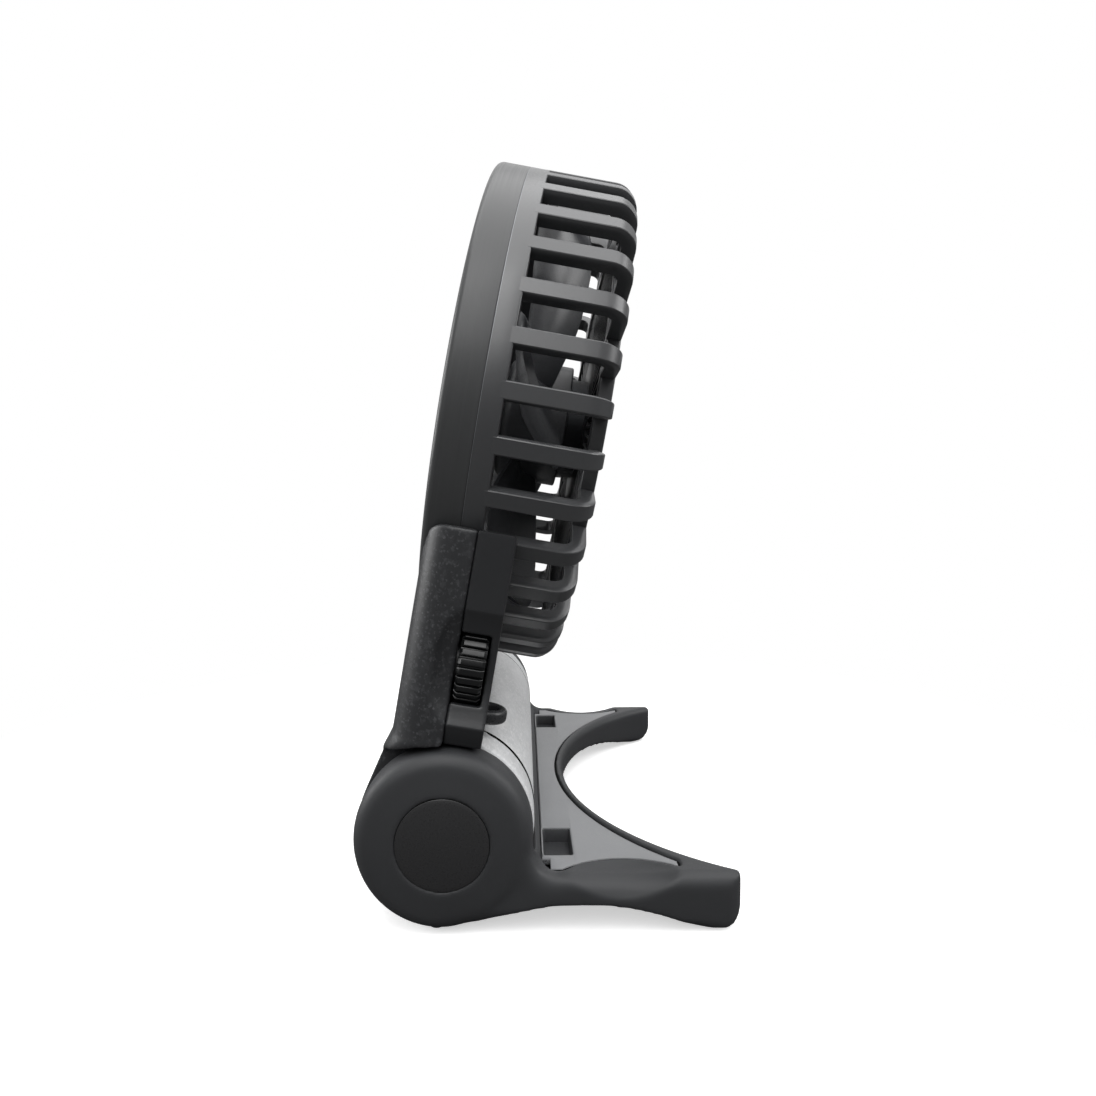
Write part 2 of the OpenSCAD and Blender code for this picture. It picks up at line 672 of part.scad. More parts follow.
module rear_cage() color("#343537") on_ring() difference() {
    rotate_extrude($fn = 180) polygon(concat(
        [[ring_r, bezel_seam], [ring_r - cage_wall, bezel_seam]],
        arc(ring_r - cage_corner, cage_corner - cage_rear, cage_corner - cage_wall, 0, -90, 5),
        [[rear_ring_ri, cage_wall - cage_rear], [rear_ring_ri, -cage_rear]],
        arc(ring_r - cage_corner, cage_corner - cage_rear, cage_corner, -90, 0, 8)));
    for (i = [0:slot_count - 1]) rotate((i + 0.5) * 360 / slot_count)
        translate([rear_ring_ri + rear_ring_w, -slot_w / 2, -cage_rear - 1])
            cube([ring_r, slot_w, cage_rear + 1 + slot_front]);
}
module rear_grille() color("#2c2d2f") on_ring() translate([0, 0, -cage_rear]) {
    outer = rear_ring_ri - 0.05;
    half_in = PI * rear_hub_r / fin_count - fin_w / 2;
    half_out = PI * (outer - 1.2) / fin_count - fin_w / 2;
    difference() {
        linear_extrude(rear_grille_t) difference() {
            circle(outer);
            for (i = [0:fin_count - 1]) rotate(i * 360 / fin_count) polygon([
                [rear_hub_r, -half_in], [outer - 1.2, -half_out],
                [outer - 1.2, half_out], [rear_hub_r, half_in]]);
        }
        for (s = [-1, 1]) translate([s * motor_screw_at, 0, -1]) {
            cylinder(h = 6, r = screw_r + screw_gap);
            cylinder(h = 1 + screw_head_t, r = screw_head_r + screw_gap);
        }
    }
}

// Impeller and motor
module blade() {
    half = blade_chord / 2;
    rise = blade_rise / 2;
    steps = 10;
    middle = [for (i = [0:steps]) let (u = -1 + 2 * i / steps)
        [u * half, u * rise + blade_sag * (1 - u * u)]];
    top = [for (p = middle) p + [0, blade_t / 2]];
    low = [for (i = [steps:-1:0]) middle[i] - [0, blade_t / 2]];
    spread = 0.44 * 360 / blade_count;
    far = blade_r * 2;
    intersection() {
        translate([0, 0, blade_mid]) rotate([90, 0, 90]) linear_extrude(blade_r) polygon(concat(top, low));
        translate([0, 0, -20]) linear_extrude(40)
            polygon([[0, 0], [far * cos(spread), -far * sin(spread)], [far, 0],
                [far * cos(spread), far * sin(spread)]]);
        translate([0, 0, -20]) cylinder(h = 40, r = blade_r, $fn = 180);
    }
}
module fan_impeller() color("#3c3d40") on_ring() difference() {
    union() {
        difference() {
            union() {
                translate([0, 0, hub_front - hub_depth]) cylinder(h = hub_depth, r = hub_r);
                for (i = [0:blade_count - 1]) rotate(i * 360 / blade_count) blade();
            }
            translate([0, 0, -25]) cylinder(h = 25 + hub_front - 1.6, r = hub_r - hub_wall);
        }
        translate([0, 0, can_front + boss_l + 0.5]) cylinder(h = hub_front - 1 - can_front - boss_l, r = 3.4);
    }
    translate([0, 0, -25]) cylinder(h = 25 + hub_front - 0.8, r = shaft_r);
}
module motor_can() color("#b4b6b9") on_ring() difference() {
    union() {
        translate([0, 0, motor_back]) cylinder(h = can_l, r = can_r);
        translate([0, 0, can_front - eps]) cylinder(h = boss_l, r = bearing_r + 1.2);
    }
    translate([0, 0, motor_back - 1]) cylinder(h = can_l + 1 - can_wall, r = can_r - can_wall);
    cylinder(h = 60, r = bearing_r, center = true);
}
module motor_end_cap() color("#1f2022") on_ring() difference() {
    union() {
        translate([0, 0, motor_back]) cylinder(h = 1.6, r = can_r - can_wall - 0.05);
        translate([0, 0, motor_back]) cylinder(h = bearing_w, r = bearing_r + 1.2);
    }
    translate([0, 0, motor_back - 1]) cylinder(h = 6, r = bearing_r);
    for (s = [-1, 1]) translate([s * motor_screw_at, 0, motor_back - 1]) cylinder(h = 6, r = screw_r);
}
module motor_bearings() color("#c3c5c8") on_ring()
    for (z = [motor_back, can_front + boss_l - bearing_w]) translate([0, 0, z]) difference() {
        cylinder(h = bearing_w, r = bearing_r);
        translate([0, 0, -1]) cylinder(h = bearing_w + 2, r = shaft_r + run_gap);
    }
module motor_magnets() color("#4a4744") on_ring()
    for (a = [15, 195]) translate([0, 0, motor_back + 1.8]) rotate(a)
        rotate_extrude(angle = 150) translate([can_r - can_wall - magnet_t, 0])
            square([magnet_t, can_l - can_wall - 2]);
module motor_rotor() color("#a8622d") on_ring() difference() {
    union() {
        translate([0, 0, motor_back + 3.2]) cylinder(h = can_l - can_wall - 3.6, r = rotor_r);
        translate([0, 0, motor_back + bearing_w + 0.2]) cylinder(h = 3, r = 2.6);
    }
    for (a = [0, 120, 240]) rotate(a) translate([3.4, -0.9, motor_back]) cube([rotor_r, 1.8, can_l]);
    translate([0, 0, motor_back]) cylinder(h = can_l, r = shaft_r);
}
module motor_shaft() color("#c8cacc") on_ring()
    translate([0, 0, motor_back + 0.2]) cylinder(h = hub_front - 0.8 - motor_back - 0.2, r = shaft_r);
module motor_screws() color("#8d8f92") on_ring() for (s = [-1, 1])
    translate([s * motor_screw_at, 0, -cage_rear]) {
    cylinder(h = screw_head_t, r = screw_head_r);
    cylinder(h = rear_grille_t + 1.4, r = screw_r);
}

// Dial, boards and battery
module speed_dial() color("#232425") on_head()
    translate([dial_x, dial_y0 + dial_w, dial_up]) rotate([90, 0, 0]) difference() {
        cylinder(h = dial_w, r = dial_r);
        for (i = [0:ridge_count - 1]) rotate(i * 360 / ridge_count)
            translate([dial_r, 0, -1]) cylinder(h = dial_w + 2, r = ridge_depth, $fn = 4);
        translate([0, 0, -1]) cylinder(h = dial_w + 2, r = axle_r);
    }
module dial_axle() color("#a4a6a8") on_head() rod(axle_r, [dial_x, dial_up], board_back + 0.2, body_rear - 1);
module dial_switch() color("#1a3a5c") on_head() difference() {
    rod(switch_r, [dial_x, dial_up], board_back, dial_y0 - 0.2);
    rod(axle_r + run_gap, [dial_x, dial_up], board_back - 1, dial_y0 + 1);
}
module control_board() color("#1f5a38") on_head() translate([0, board_back, 0]) rotate([90, 0, 0])
    linear_extrude(board_t) difference() {
        translate([board_in, board_low]) square([board_hw - board_in, dial_up + board_over - board_low]);
        translate([0, ring_up]) circle(board_ring);
        translate(screw_low) circle(post_r + board_gap);
        translate([screw_low[0] - post_r - board_gap, 0]) square([board_hw, screw_low[1]]);
        translate([screw_low[0], 0]) square([board_hw, screw_low[1] + post_r + board_gap]);
    }
module charge_board() color("#1f5a38") on_head() translate([0, charge_back, 0]) rotate([90, 0, 0])
    linear_extrude(board_t) difference() {
        translate([-board_hw, charge_low]) square([charge_w, charge_h]);
        translate([0, ring_up]) circle(board_ring);
    }
module charge_socket() color("#b4b6b9") on_head()
    translate([-body_hw + 0.3, charge_back - board_t, socket_up]) {
        difference() {
            translate([0, -socket_h, -socket_w / 2]) cube([socket_l, socket_h, socket_w]);
            translate([-1, -socket_h + 0.4, -socket_w / 2 + 0.4])
                cube([socket_l - 0.2, socket_h - 0.8, socket_w - 0.8]);
        }
        translate([1, -socket_h / 2 - 0.35, -socket_w / 2 + 1.3]) cube([socket_l - 1, 0.7, socket_w - 2.6]);
    }
module battery_cell() color("#2e6fb0") on_head() {
    bar(cell_r, -cell_l / 2, cell_l / 2);
    bar(3, cell_l / 2 - eps, cell_l / 2 + 0.8);
}
module battery_cradle() color("#d8d9da") on_head() difference() {
    intersection() {
        bar(drum_ri - 0.05, -cell_l / 2 - 3.5, cell_l / 2 + 3.5);
        translate([-60, -drum_r, -drum_r]) cube([120, 2 * drum_r, drum_r]);
    }
    bar(cell_r + 0.05, -cell_l / 2 - 0.5, cell_l / 2 + 1.3);
}
module battery_contacts() color("#c9b27a") on_head() for (x = [-cell_l / 2 - 0.5, cell_l / 2 + 0.9])
    translate([x, -contact_w / 2, -contact_h / 2 - 0.5]) cube([0.4, contact_w, contact_h]);

stand_frame();
stand_cover_plate();
stand_feet();
stand_screws();
pivot_cap_left();
pivot_cap_right();
hinge_pins();
hinge_clips();
friction_washers();
front_body_shell();
rear_body_shell();
drum_rear_cover();
strap_eye();
body_screws();
front_bezel();
front_grille();
grille_hub_disc();
rear_cage();
rear_grille();
fan_impeller();
motor_can();
motor_end_cap();
motor_bearings();
motor_magnets();
motor_rotor();
motor_shaft();
motor_screws();
speed_dial();
dial_axle();
dial_switch();
control_board();
charge_board();
charge_socket();
battery_cell();
battery_cradle();
battery_contacts();
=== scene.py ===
"""Looks of a folding handheld fan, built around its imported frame.

Lengths inside the pieces' own functions are millimetres and MM turns them to metres. Head
pieces are drawn upright about the hinge, ring pieces about the ring's axis with Z forward.
"""
import math

import bmesh
import bpy
import numpy as np
from bpy.props import FloatProperty, FloatVectorProperty, IntProperty, PointerProperty
from mathutils import Matrix, Vector


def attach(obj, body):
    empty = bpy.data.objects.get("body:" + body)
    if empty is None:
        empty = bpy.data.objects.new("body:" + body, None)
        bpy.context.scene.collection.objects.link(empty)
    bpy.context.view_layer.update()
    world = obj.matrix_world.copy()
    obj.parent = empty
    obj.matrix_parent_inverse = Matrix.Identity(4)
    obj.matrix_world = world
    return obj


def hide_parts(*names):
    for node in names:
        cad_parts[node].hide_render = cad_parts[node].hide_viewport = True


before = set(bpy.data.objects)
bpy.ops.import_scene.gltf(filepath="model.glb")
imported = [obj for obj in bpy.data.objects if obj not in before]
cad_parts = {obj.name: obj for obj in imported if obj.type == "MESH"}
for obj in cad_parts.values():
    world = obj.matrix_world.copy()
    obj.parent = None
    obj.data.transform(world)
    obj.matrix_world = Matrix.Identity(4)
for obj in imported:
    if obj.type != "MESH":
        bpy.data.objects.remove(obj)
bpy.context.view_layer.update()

bl_info = {
    "name": "Folding Fan Looks",
    "version": (1, 0, 0),
    "blender": (4, 5, 0),
    "location": "3D View > Sidebar > Fan",
    "description": "Dresses the folding fan's frame with its moulded, brushed and speckled pieces",
    "category": "Object",
}

MM = 0.001
TAU = 2 * math.pi
SMOOTH_BELOW, SKIN_SMOOTH_BELOW = math.radians(32), math.radians(60)

# Sizes that the pieces share with the frame
PIVOT = (0.0, -19.6, 17.7)
TILT = 10
RING_R, RING_UP = 58.0, 84.3
RIM_FRONT, BEZEL_SEAM, SLOT_FRONT, CAGE_REAR = 14.15, 6.7, 2.55, -17.6
BEZEL_WALL, LIP_R, LIP_T = 2.2, 53.5, 2.6
CAGE_WALL, CAGE_CORNER, SLOT_W = 3.0, 5.0, 6.1
REAR_RING_RI, REAR_RING_W, REAR_HUB_R, REAR_T = 43.5, 3.0, 21.0, 2.4
GRILLE_BACK, GRILLE_T, GRILLE_HUB_R, TIE_R = 9.15, 2.4, 15.5, 34.0
BLADE_R, HUB_R, HUB_FRONT, HUB_DEPTH = 51.5, 15.0, 4.5, 15.5
MOTOR_SCREW_X = 7.5
BODY_FRONT, BODY_REAR, BODY_SEAM, BODY_FOOT = 13.5, 4.1, 3.25, 17.6
DRUM_R, DRUM_HL, COVER_HW, FLARE_SLOPE = 17.3, 48.5, 39.4, 0.245
DIAL_R, DIAL_W, DIAL_UP, DIAL_X, DIAL_BACK = 8.2, 5.15, 32.3, 47.4, 2.25
EYE_X, EYE_UP, EYE_R, EYE_HOLE_R, EYE_T = 40.5, 20.9, 4.1, 2.3, 2.8
STAND_HW, LEG_HW, LEG_TOP = 57.3, 56.3, 10.9
NEST_R, NEST_Y = 60.5, 85.9
ARCH_H, ARCH_R, ARCH_Y = 5.4, 52.0, 26.0
CAP_R, CAP_T = 8.7, 1.4
PLATE_Z, PLATE_T, PLATE_FRONT, PLATE_TIP, PLATE_HW = 10.6, 1.5, 18.7, 45.4, 52.4
PLATE_ARC_R, PLATE_ARC_Y, BOW_R, BOW_X, BOW_Y = 67.0, 90.5, 18.3, 66.6, 34.15
POCKET_HW, POCKET_FRONT, POCKET_L, POCKET_DEPTH = 6.1, 19.1, 5.9, 3.0
SCREW_R, SCREW_HEAD_R, SCREW_HEAD_T = 0.9, 1.8, 1.0

STAND = Matrix.Translation(Vector((0, PIVOT[1], 0)) * MM)
HEAD = Matrix.Translation(Vector(PIVOT) * MM) @ Matrix.Rotation(-math.radians(TILT), 4, "X")
RING = HEAD @ Matrix.Translation((0, 0, RING_UP * MM)) @ Matrix.Rotation(math.pi / 2, 4, "X")


def linear(hex_colour):
    """An sRGB hex colour as linear red, green, blue and alpha."""
    parts = [int(hex_colour[i:i + 2], 16) / 255 for i in (0, 2, 4)]
    return (*[p / 12.92 if p <= 0.04045 else ((p + 0.055) / 1.055) ** 2.4 for p in parts], 1.0)


def plain_number(name, description, value, **kinds):
    return FloatProperty(name=name, description=description, default=value, min=0, **kinds)


def length(name, description, mm):
    return plain_number(name, description, mm * MM, unit="LENGTH", precision=5)


def watts(name, description, value):
    return plain_number(name, description, value, subtype="POWER", unit="POWER")


def whole_number(name, description, value, least=3):
    return IntProperty(name=name, description=description, default=value, min=least)


def colour(name, description, hex_colour):
    return FloatVectorProperty(name=name, description=description, default=linear(hex_colour),
                               size=4, min=0, max=1, subtype="COLOR")


# ---------------------------------------------------------------- mesh helpers

def rounded(corners, steps=4):
    """A closed outline of (x, y, radius), with each corner turned to an arc."""
    points = []
    for i, (x, y, r) in enumerate(corners):
        if r <= 0:
            points.append((x, y))
            continue
        here = np.array((x, y))
        before = np.array(corners[i - 1][:2]) - here
        after = np.array(corners[(i + 1) % len(corners)][:2]) - here
        before, after = before / np.linalg.norm(before), after / np.linalg.norm(after)
        half = math.acos(max(-1.0, min(1.0, float(before @ after)))) / 2
        middle = here + (before + after) / np.linalg.norm(before + after) * r / math.sin(half)
        start = here + before * r / math.tan(half) - middle
        end = here + after * r / math.tan(half) - middle
        a0 = math.atan2(start[1], start[0])
        turn = (math.atan2(end[1], end[0]) - a0 + math.pi) % TAU - math.pi
        for k in range(steps + 1):
            a = a0 + turn * k / steps
            points.append((middle[0] + r * math.cos(a), middle[1] + r * math.sin(a)))
    return points


def rectangle(x0, x1, y0, y1, *radii, steps=4):
    """A rectangle's closed outline, with one radius for all its corners or one for each."""
    corners = ((x0, y0), (x1, y0), (x1, y1), (x0, y1))
    radii = radii * (4 // len(radii))
    return rounded([(x, y, r) for (x, y), r in zip(corners, radii)], steps)


def loft(rings, loop=False):
    """Points and faces of a skin over rings of equally many points, capped unless it is a loop."""
    n, m = len(rings[0]), len(rings)
    faces = [(a * n + j, a * n + (j + 1) % n, (a + 1) % m * n + (j + 1) % n, (a + 1) % m * n + j)
             for a in range(m if loop else m - 1) for j in range(n)]
    if not loop:
        faces += [tuple(range(n)), tuple(range((m - 1) * n, m * n))]
    return np.concatenate(rings), faces


def turned(profile, steps=144, first=0.0, span=TAU):
    """A closed profile of (radius, height) turned round Z."""
    loop = span > TAU - 1e-6
    r, h = np.array(profile).T
    rings = [np.stack([r * math.cos(a), r * math.sin(a), h], 1)
             for a in (first + span * k / steps for k in range(steps if loop else steps + 1))]
    return loft(rings, loop)


def written(made, mesh):
    """A mesh with what was made written to it."""
    made.to_mesh(mesh)
    made.free()
    return mesh


def bar(outline, places):
    """A skin along X: an outline of (y, z), drawn through its places."""
    return loft([np.array([(x, y, z) for y, z in outline]) for x in places])


def mesh_of(name, parts, place=Matrix()):
    """One mesh from several closed skins in millimetres, with its faces pointing outwards."""
    made = bmesh.new()
    for points, faces in parts:
        verts = [made.verts.new(Vector(p) * MM) for p in points]
        for face in faces:
            made.faces.new([verts[k] for k in face])
    bmesh.ops.remove_doubles(made, verts=made.verts, dist=1e-8)
    bmesh.ops.dissolve_degenerate(made, edges=made.edges, dist=1e-8)
    bmesh.ops.recalc_face_normals(made, faces=made.faces)
    mesh = written(made, bpy.data.meshes.new(name))
    mesh.transform(place)
    return mesh


def add_piece(name, mesh, finish, smooth_below=SMOOTH_BELOW):
    """An object for a finished mesh, with soft shading inside and crisp corners."""
    mesh.name = name
    mesh.materials.clear()
    mesh.materials.append(finish)
    mesh.shade_smooth()
    mesh.set_sharp_from_angle(angle=smooth_below)
    piece = bpy.data.objects.new(name, mesh)
    bpy.context.scene.collection.objects.link(piece)
    return piece


def settle(piece, body, slot, *nodes):
    """Hangs a piece on its body, and lets it stand for frame nodes."""
    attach(piece, body)
    if nodes:
        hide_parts(*nodes)


def put(name, mesh, finish, body, slot, *nodes, smooth_below=SMOOTH_BELOW):
    """Adds a piece and settles it."""
    settle(add_piece(name, mesh, finish, smooth_below), body, slot, *nodes)


def helper_for(name, data):
    """An object in the scene that is only there to be worked out."""
    helper = bpy.data.objects.new(name, data)
    bpy.context.scene.collection.objects.link(helper)
    return helper


def worked_out(helper):
    """The plain mesh that a helper gives, which is removed."""
    graph = bpy.context.evaluated_depsgraph_get()
    graph.update()
    mesh = bpy.data.meshes.new_from_object(helper.evaluated_get(graph))
    bpy.data.objects.remove(helper)
    return mesh


def evaluated_mesh(mesh, modifiers):
    """A mesh after modifiers, each given as (type, settings, inputs by socket identifier)."""
    helper = helper_for("helper", mesh)
    for kind, settings, inputs in modifiers:
        modifier = helper.modifiers.new(kind.title(), kind)
        for key, value in settings.items():
            setattr(modifier, key, value)
        for key, value in inputs.items():
            modifier[key] = value
    return worked_out(helper)


def frame_copy(node, whole_faces):
    """A frame node's mesh as one closed skin, with its flat faces made whole if wanted."""
    made = bmesh.new()
    made.from_mesh(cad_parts[node].data)
    bmesh.ops.remove_doubles(made, verts=made.verts, dist=2e-6)
    if whole_faces:
        bmesh.ops.dissolve_limit(made, angle_limit=math.radians(0.4), verts=made.verts,
                                 edges=made.edges)
    mesh = written(made, bpy.data.meshes.new(node))
    mesh.materials.clear()
    return mesh


def eased(node, width):
    """A frame node's mesh with its sharp edges eased."""
    return evaluated_mesh(frame_copy(node, True), [("BEVEL", {
        "width": width, "segments": 2, "limit_method": "ANGLE",
        "angle_limit": math.radians(34), "use_clamp_overlap": False}, {})])


def relaxed(points, edges, weight, passes):
    """Points drawn towards their neighbours' middle, each by its own weight."""
    a, b = edges.T
    count = np.bincount(edges.ravel(), minlength=len(points))[:, None]
    for _ in range(passes):
        total = np.stack([np.bincount(a, points[b, k], len(points)) +
                          np.bincount(b, points[a, k], len(points)) for k in range(3)], 1)
        points = points + (total / count - points) * weight[:, None] * 0.5
    return points


def moulded_skin(node, voxel, place, shape, most_triangles=150000):
    """A frame node's mesh as one even skin, shaped by a function of its upright points in mm."""
    mesh = frame_copy(node, False)
    mesh.transform(place.inverted())
    mesh = evaluated_mesh(mesh, [("REMESH", {"mode": "VOXEL", "voxel_size": voxel}, {})])
    points = np.zeros(len(mesh.vertices) * 3, np.float32)
    mesh.vertices.foreach_get("co", points)
    edges = np.zeros(len(mesh.edges) * 2, np.int32)
    mesh.edges.foreach_get("vertices", edges)
    points = shape(points.reshape(-1, 3).astype(float) / MM, edges.reshape(-1, 2)) * MM
    mesh.vertices.foreach_set("co", points.astype(np.float32).ravel())
    mesh.transform(place)
    mesh.update()
    ratio = most_triangles / (2 * len(mesh.polygons))
    if ratio < 1:
        mesh = evaluated_mesh(mesh, [("DECIMATE", {"ratio": ratio}, {})])
    return mesh


# ------------------------------------------------------- node trees that repeat

def add(tree, kind, settings=None, inputs=None):
    """Adds a node, sets it up and links what its inputs are given."""
    node = tree.nodes.new(kind)
    for key, value in (settings or {}).items():
        setattr(node, key, value)
    for key, value in (inputs or {}).items():
        if isinstance(value, bpy.types.NodeSocket):
            tree.links.new(value, node.inputs[key])
        else:
            node.inputs[key].default_value = value
    return node


def copied(name, mesh, own_inputs, values, arrange):
    """A mesh from a tree that sets copies on points: arrange gives points, part and turn."""
    tree = bpy.data.node_groups.new(name, "GeometryNodeTree")
    wanted = [("Geometry", "NodeSocketGeometry"), *own_inputs, ("Finish", "NodeSocketMaterial")]
    ids = {label: tree.interface.new_socket(label, in_out="INPUT", socket_type=kind).identifier
           for label, kind in wanted}
    tree.interface.new_socket("Geometry", in_out="OUTPUT", socket_type="NodeSocketGeometry")
    given = add(tree, "NodeGroupInput").outputs
    points, part, turn = arrange(tree, given)
    turned_by = add(tree, "ShaderNodeCombineXYZ", None, turn)
    copies = add(tree, "GeometryNodeInstanceOnPoints", None,
                 {"Points": points, "Instance": part, "Rotation": turned_by.outputs[0]})
    real = add(tree, "GeometryNodeRealizeInstances", None, {"Geometry": copies.outputs[0]})
    done = add(tree, "GeometryNodeSetMaterial", None,
               {"Geometry": real.outputs[0], "Material": given["Finish"]})
    add(tree, "NodeGroupOutput", None, {0: done.outputs[0]})
    inputs = {ids[label]: value for label, value in values.items()}
    result = evaluated_mesh(mesh, [("NODES", {"node_group": tree}, inputs)])
    bpy.data.node_groups.remove(tree)
    return result


def around(name, part, count, first, finish):
    """A mesh of one part copied round the ring's axis, each turned in its place."""
    def arrange(tree, given):
        places = add(tree, "GeometryNodePoints", None, {"Count": given["Count"]})
        index = add(tree, "GeometryNodeInputIndex")
        step = add(tree, "ShaderNodeMath", {"operation": "DIVIDE"}, {0: TAU, 1: given["Count"]})
        angle = add(tree, "ShaderNodeMath", {"operation": "MULTIPLY_ADD"},
                    {0: index.outputs[0], 1: step.outputs[0], 2: given["First angle"]})
        return places.outputs[0], given["Geometry"], {"Z": angle.outputs[0]}

    return copied("Copies round an axis", mesh_of(name, [part]),
                  [("Count", "NodeSocketInt"), ("First angle", "NodeSocketFloat")],
                  {"Count": count, "First angle": first, "Finish": finish}, arrange)


def at_places(name, mesh, places, turn, finish):
    """A mesh of one part copied to places given in millimetres, turned about X."""
    def arrange(tree, given):
        source = add(tree, "GeometryNodeObjectInfo", None, {"Object": given["Copied"]})
        return given["Geometry"], source.outputs["Geometry"], {"X": given["Turn"]}

    part = bpy.data.objects.new(name, mesh)
    spots = bpy.data.meshes.new(name)
    spots.from_pydata([Vector(p) * MM for p in places], [], [])
    result = copied("Copies at places", spots,
                    [("Copied", "NodeSocketObject"), ("Turn", "NodeSocketFloat")],
                    {"Copied": part, "Turn": turn, "Finish": finish}, arrange)
    bpy.data.objects.remove(part)
    return result


def joined(name, meshes, place=Matrix()):
    """One mesh from several, put in its place."""
    made = bmesh.new()
    for mesh in meshes:
        made.from_mesh(mesh)
    result = written(made, bpy.data.meshes.new(name))
    result.transform(place)
    return result


def plate_mesh(name, loops, low, high, edge, place=Matrix()):
    """A flat plate between two heights from outlines and holes, with eased edges."""
    curve = bpy.data.curves.new(name, "CURVE")
    curve.dimensions, curve.fill_mode = "2D", "BOTH"
    curve.extrude = ((high - low) / 2 - edge) * MM
    curve.bevel_depth, curve.offset, curve.bevel_resolution = edge * MM, -edge * MM, 1
    for loop in loops:
        spline = curve.splines.new("POLY")
        spline.points.add(len(loop) - 1)
        for point, (x, y) in zip(spline.points, loop):
            point.co = (x * MM, y * MM, 0, 1)
        spline.use_cyclic_u = True
    mesh = worked_out(helper_for(name, curve))
    made = bmesh.new()
    made.from_mesh(mesh)
    bmesh.ops.remove_doubles(made, verts=made.verts, dist=1e-7)
    bmesh.ops.recalc_face_normals(made, faces=made.faces)
    written(made, mesh)
    mesh.transform(place @ Matrix.Translation((0, 0, (low + high) / 2 * MM)))
    return mesh


def circle(r, steps=96, x=0.0, y=0.0):
    return [(x + r * math.cos(TAU * k / steps), y + r * math.sin(TAU * k / steps))
            for k in range(steps)]


# -------------------------------------------------------------------- finishes

def new_finish(name):
    """An empty material with its shader, ready for the finish's own nodes."""
    material = bpy.data.materials.new(name)
    material.use_nodes = True
    tree = material.node_tree
    tree.nodes.clear()
    shader = add(tree, "ShaderNodeBsdfPrincipled")
    add(tree, "ShaderNodeOutputMaterial", None, {"Surface": shader.outputs[0]})
    return material, tree, shader


def millimetres(tree, place=None):
    """Object coordinates in millimetres, about a place if one is given."""
    seen = add(tree, "ShaderNodeTexCoord")
    settings = {"Vector": seen.outputs["Object"], "Scale": (MM, MM, MM)}
    if place is not None:
        settings["Location"] = place.translation
        settings["Rotation"] = place.to_euler()
    return add(tree, "ShaderNodeMapping", {"vector_type": "TEXTURE"}, settings).outputs[0]


def times(colour_value, factor):
    """A colour made lighter or darker by a factor."""
    return (*[min(1.0, c * factor) for c in colour_value[:3]], 1.0)


def toned(tree, field, low, high, first, second):
    """A tone that runs from one colour to another as a field runs from low to high."""
    part = add(tree, "ShaderNodeMapRange", None,
               {"Value": field, "From Min": low, "From Max": high})
    return add(tree, "ShaderNodeMix", {"data_type": "RGBA"},
               {0: part.outputs[0], 6: first, 7: second}).outputs[2]


def surfaced(tree, shader, tone, field, rough, spread, height, depth):
    """Gives a finish its tone, a roughness spread along a field, and a relief of a depth in mm."""
    tree.links.new(tone, shader.inputs["Base Color"])
    polish = add(tree, "ShaderNodeMapRange", None, {
        "Value": field, "From Min": 0.3, "From Max": 0.7,
        "To Min": rough - spread, "To Max": rough + spread})
    tree.links.new(polish.outputs[0], shader.inputs["Roughness"])
    bump = add(tree, "ShaderNodeBump", None, {"Height": height, "Distance": depth * MM})
    tree.links.new(bump.outputs[0], shader.inputs["Normal"])


def moulded(name, base, rough, grain=0.35, depth=0.012, mottle=0.08, sheen=0.5):
    """Injection moulded plastic: a spark-eroded grain and a faint flow in its tone.

    The real grain is near 0.05 mm, and is drawn a few times coarser so that it shows.
    """
    material, tree, shader = new_finish(name)
    where = millimetres(tree)
    cloud = add(tree, "ShaderNodeTexNoise", None,
                {"Vector": where, "Scale": 1 / 16, "Detail": 3.0}).outputs["Fac"]
    fine = add(tree, "ShaderNodeTexNoise", None, {
        "Vector": where, "Scale": 1 / grain, "Detail": 3.0, "Roughness": 0.6}).outputs["Fac"]
    tone = toned(tree, cloud, 0.3, 0.7, times(base, 1 - mottle), times(base, 1 + mottle))
    shader.inputs["Specular IOR Level"].default_value = sheen
    surfaced(tree, shader, tone, fine, rough, 0.05, fine, depth)
    return material


def flecks(tree, where, size, amount, seed):
    """A mask of ragged flecks: cells of a warped cell pattern, of which few are picked."""
    shift = add(tree, "ShaderNodeVectorMath", {"operation": "ADD"},
                {0: where, 1: (seed, seed * 1.7, -seed)}).outputs[0]
    warp = add(tree, "ShaderNodeTexNoise", None,
               {"Vector": shift, "Scale": 1.6 / size, "Detail": 2.0}).outputs["Color"]
    warped = add(tree, "ShaderNodeVectorMath", {"operation": "MULTIPLY_ADD"},
                 {0: warp, 1: (size * 0.9,) * 3, 2: shift}).outputs[0]
    cells = add(tree, "ShaderNodeTexVoronoi", None, {"Vector": warped, "Scale": 1 / size})
    picked = add(tree, "ShaderNodeSeparateColor", None, {0: cells.outputs["Color"]}).outputs[0]
    return add(tree, "ShaderNodeMapRange", None, {
        "Value": picked, "From Min": 0.97 - amount, "From Max": 1.05 - amount}).outputs[0]


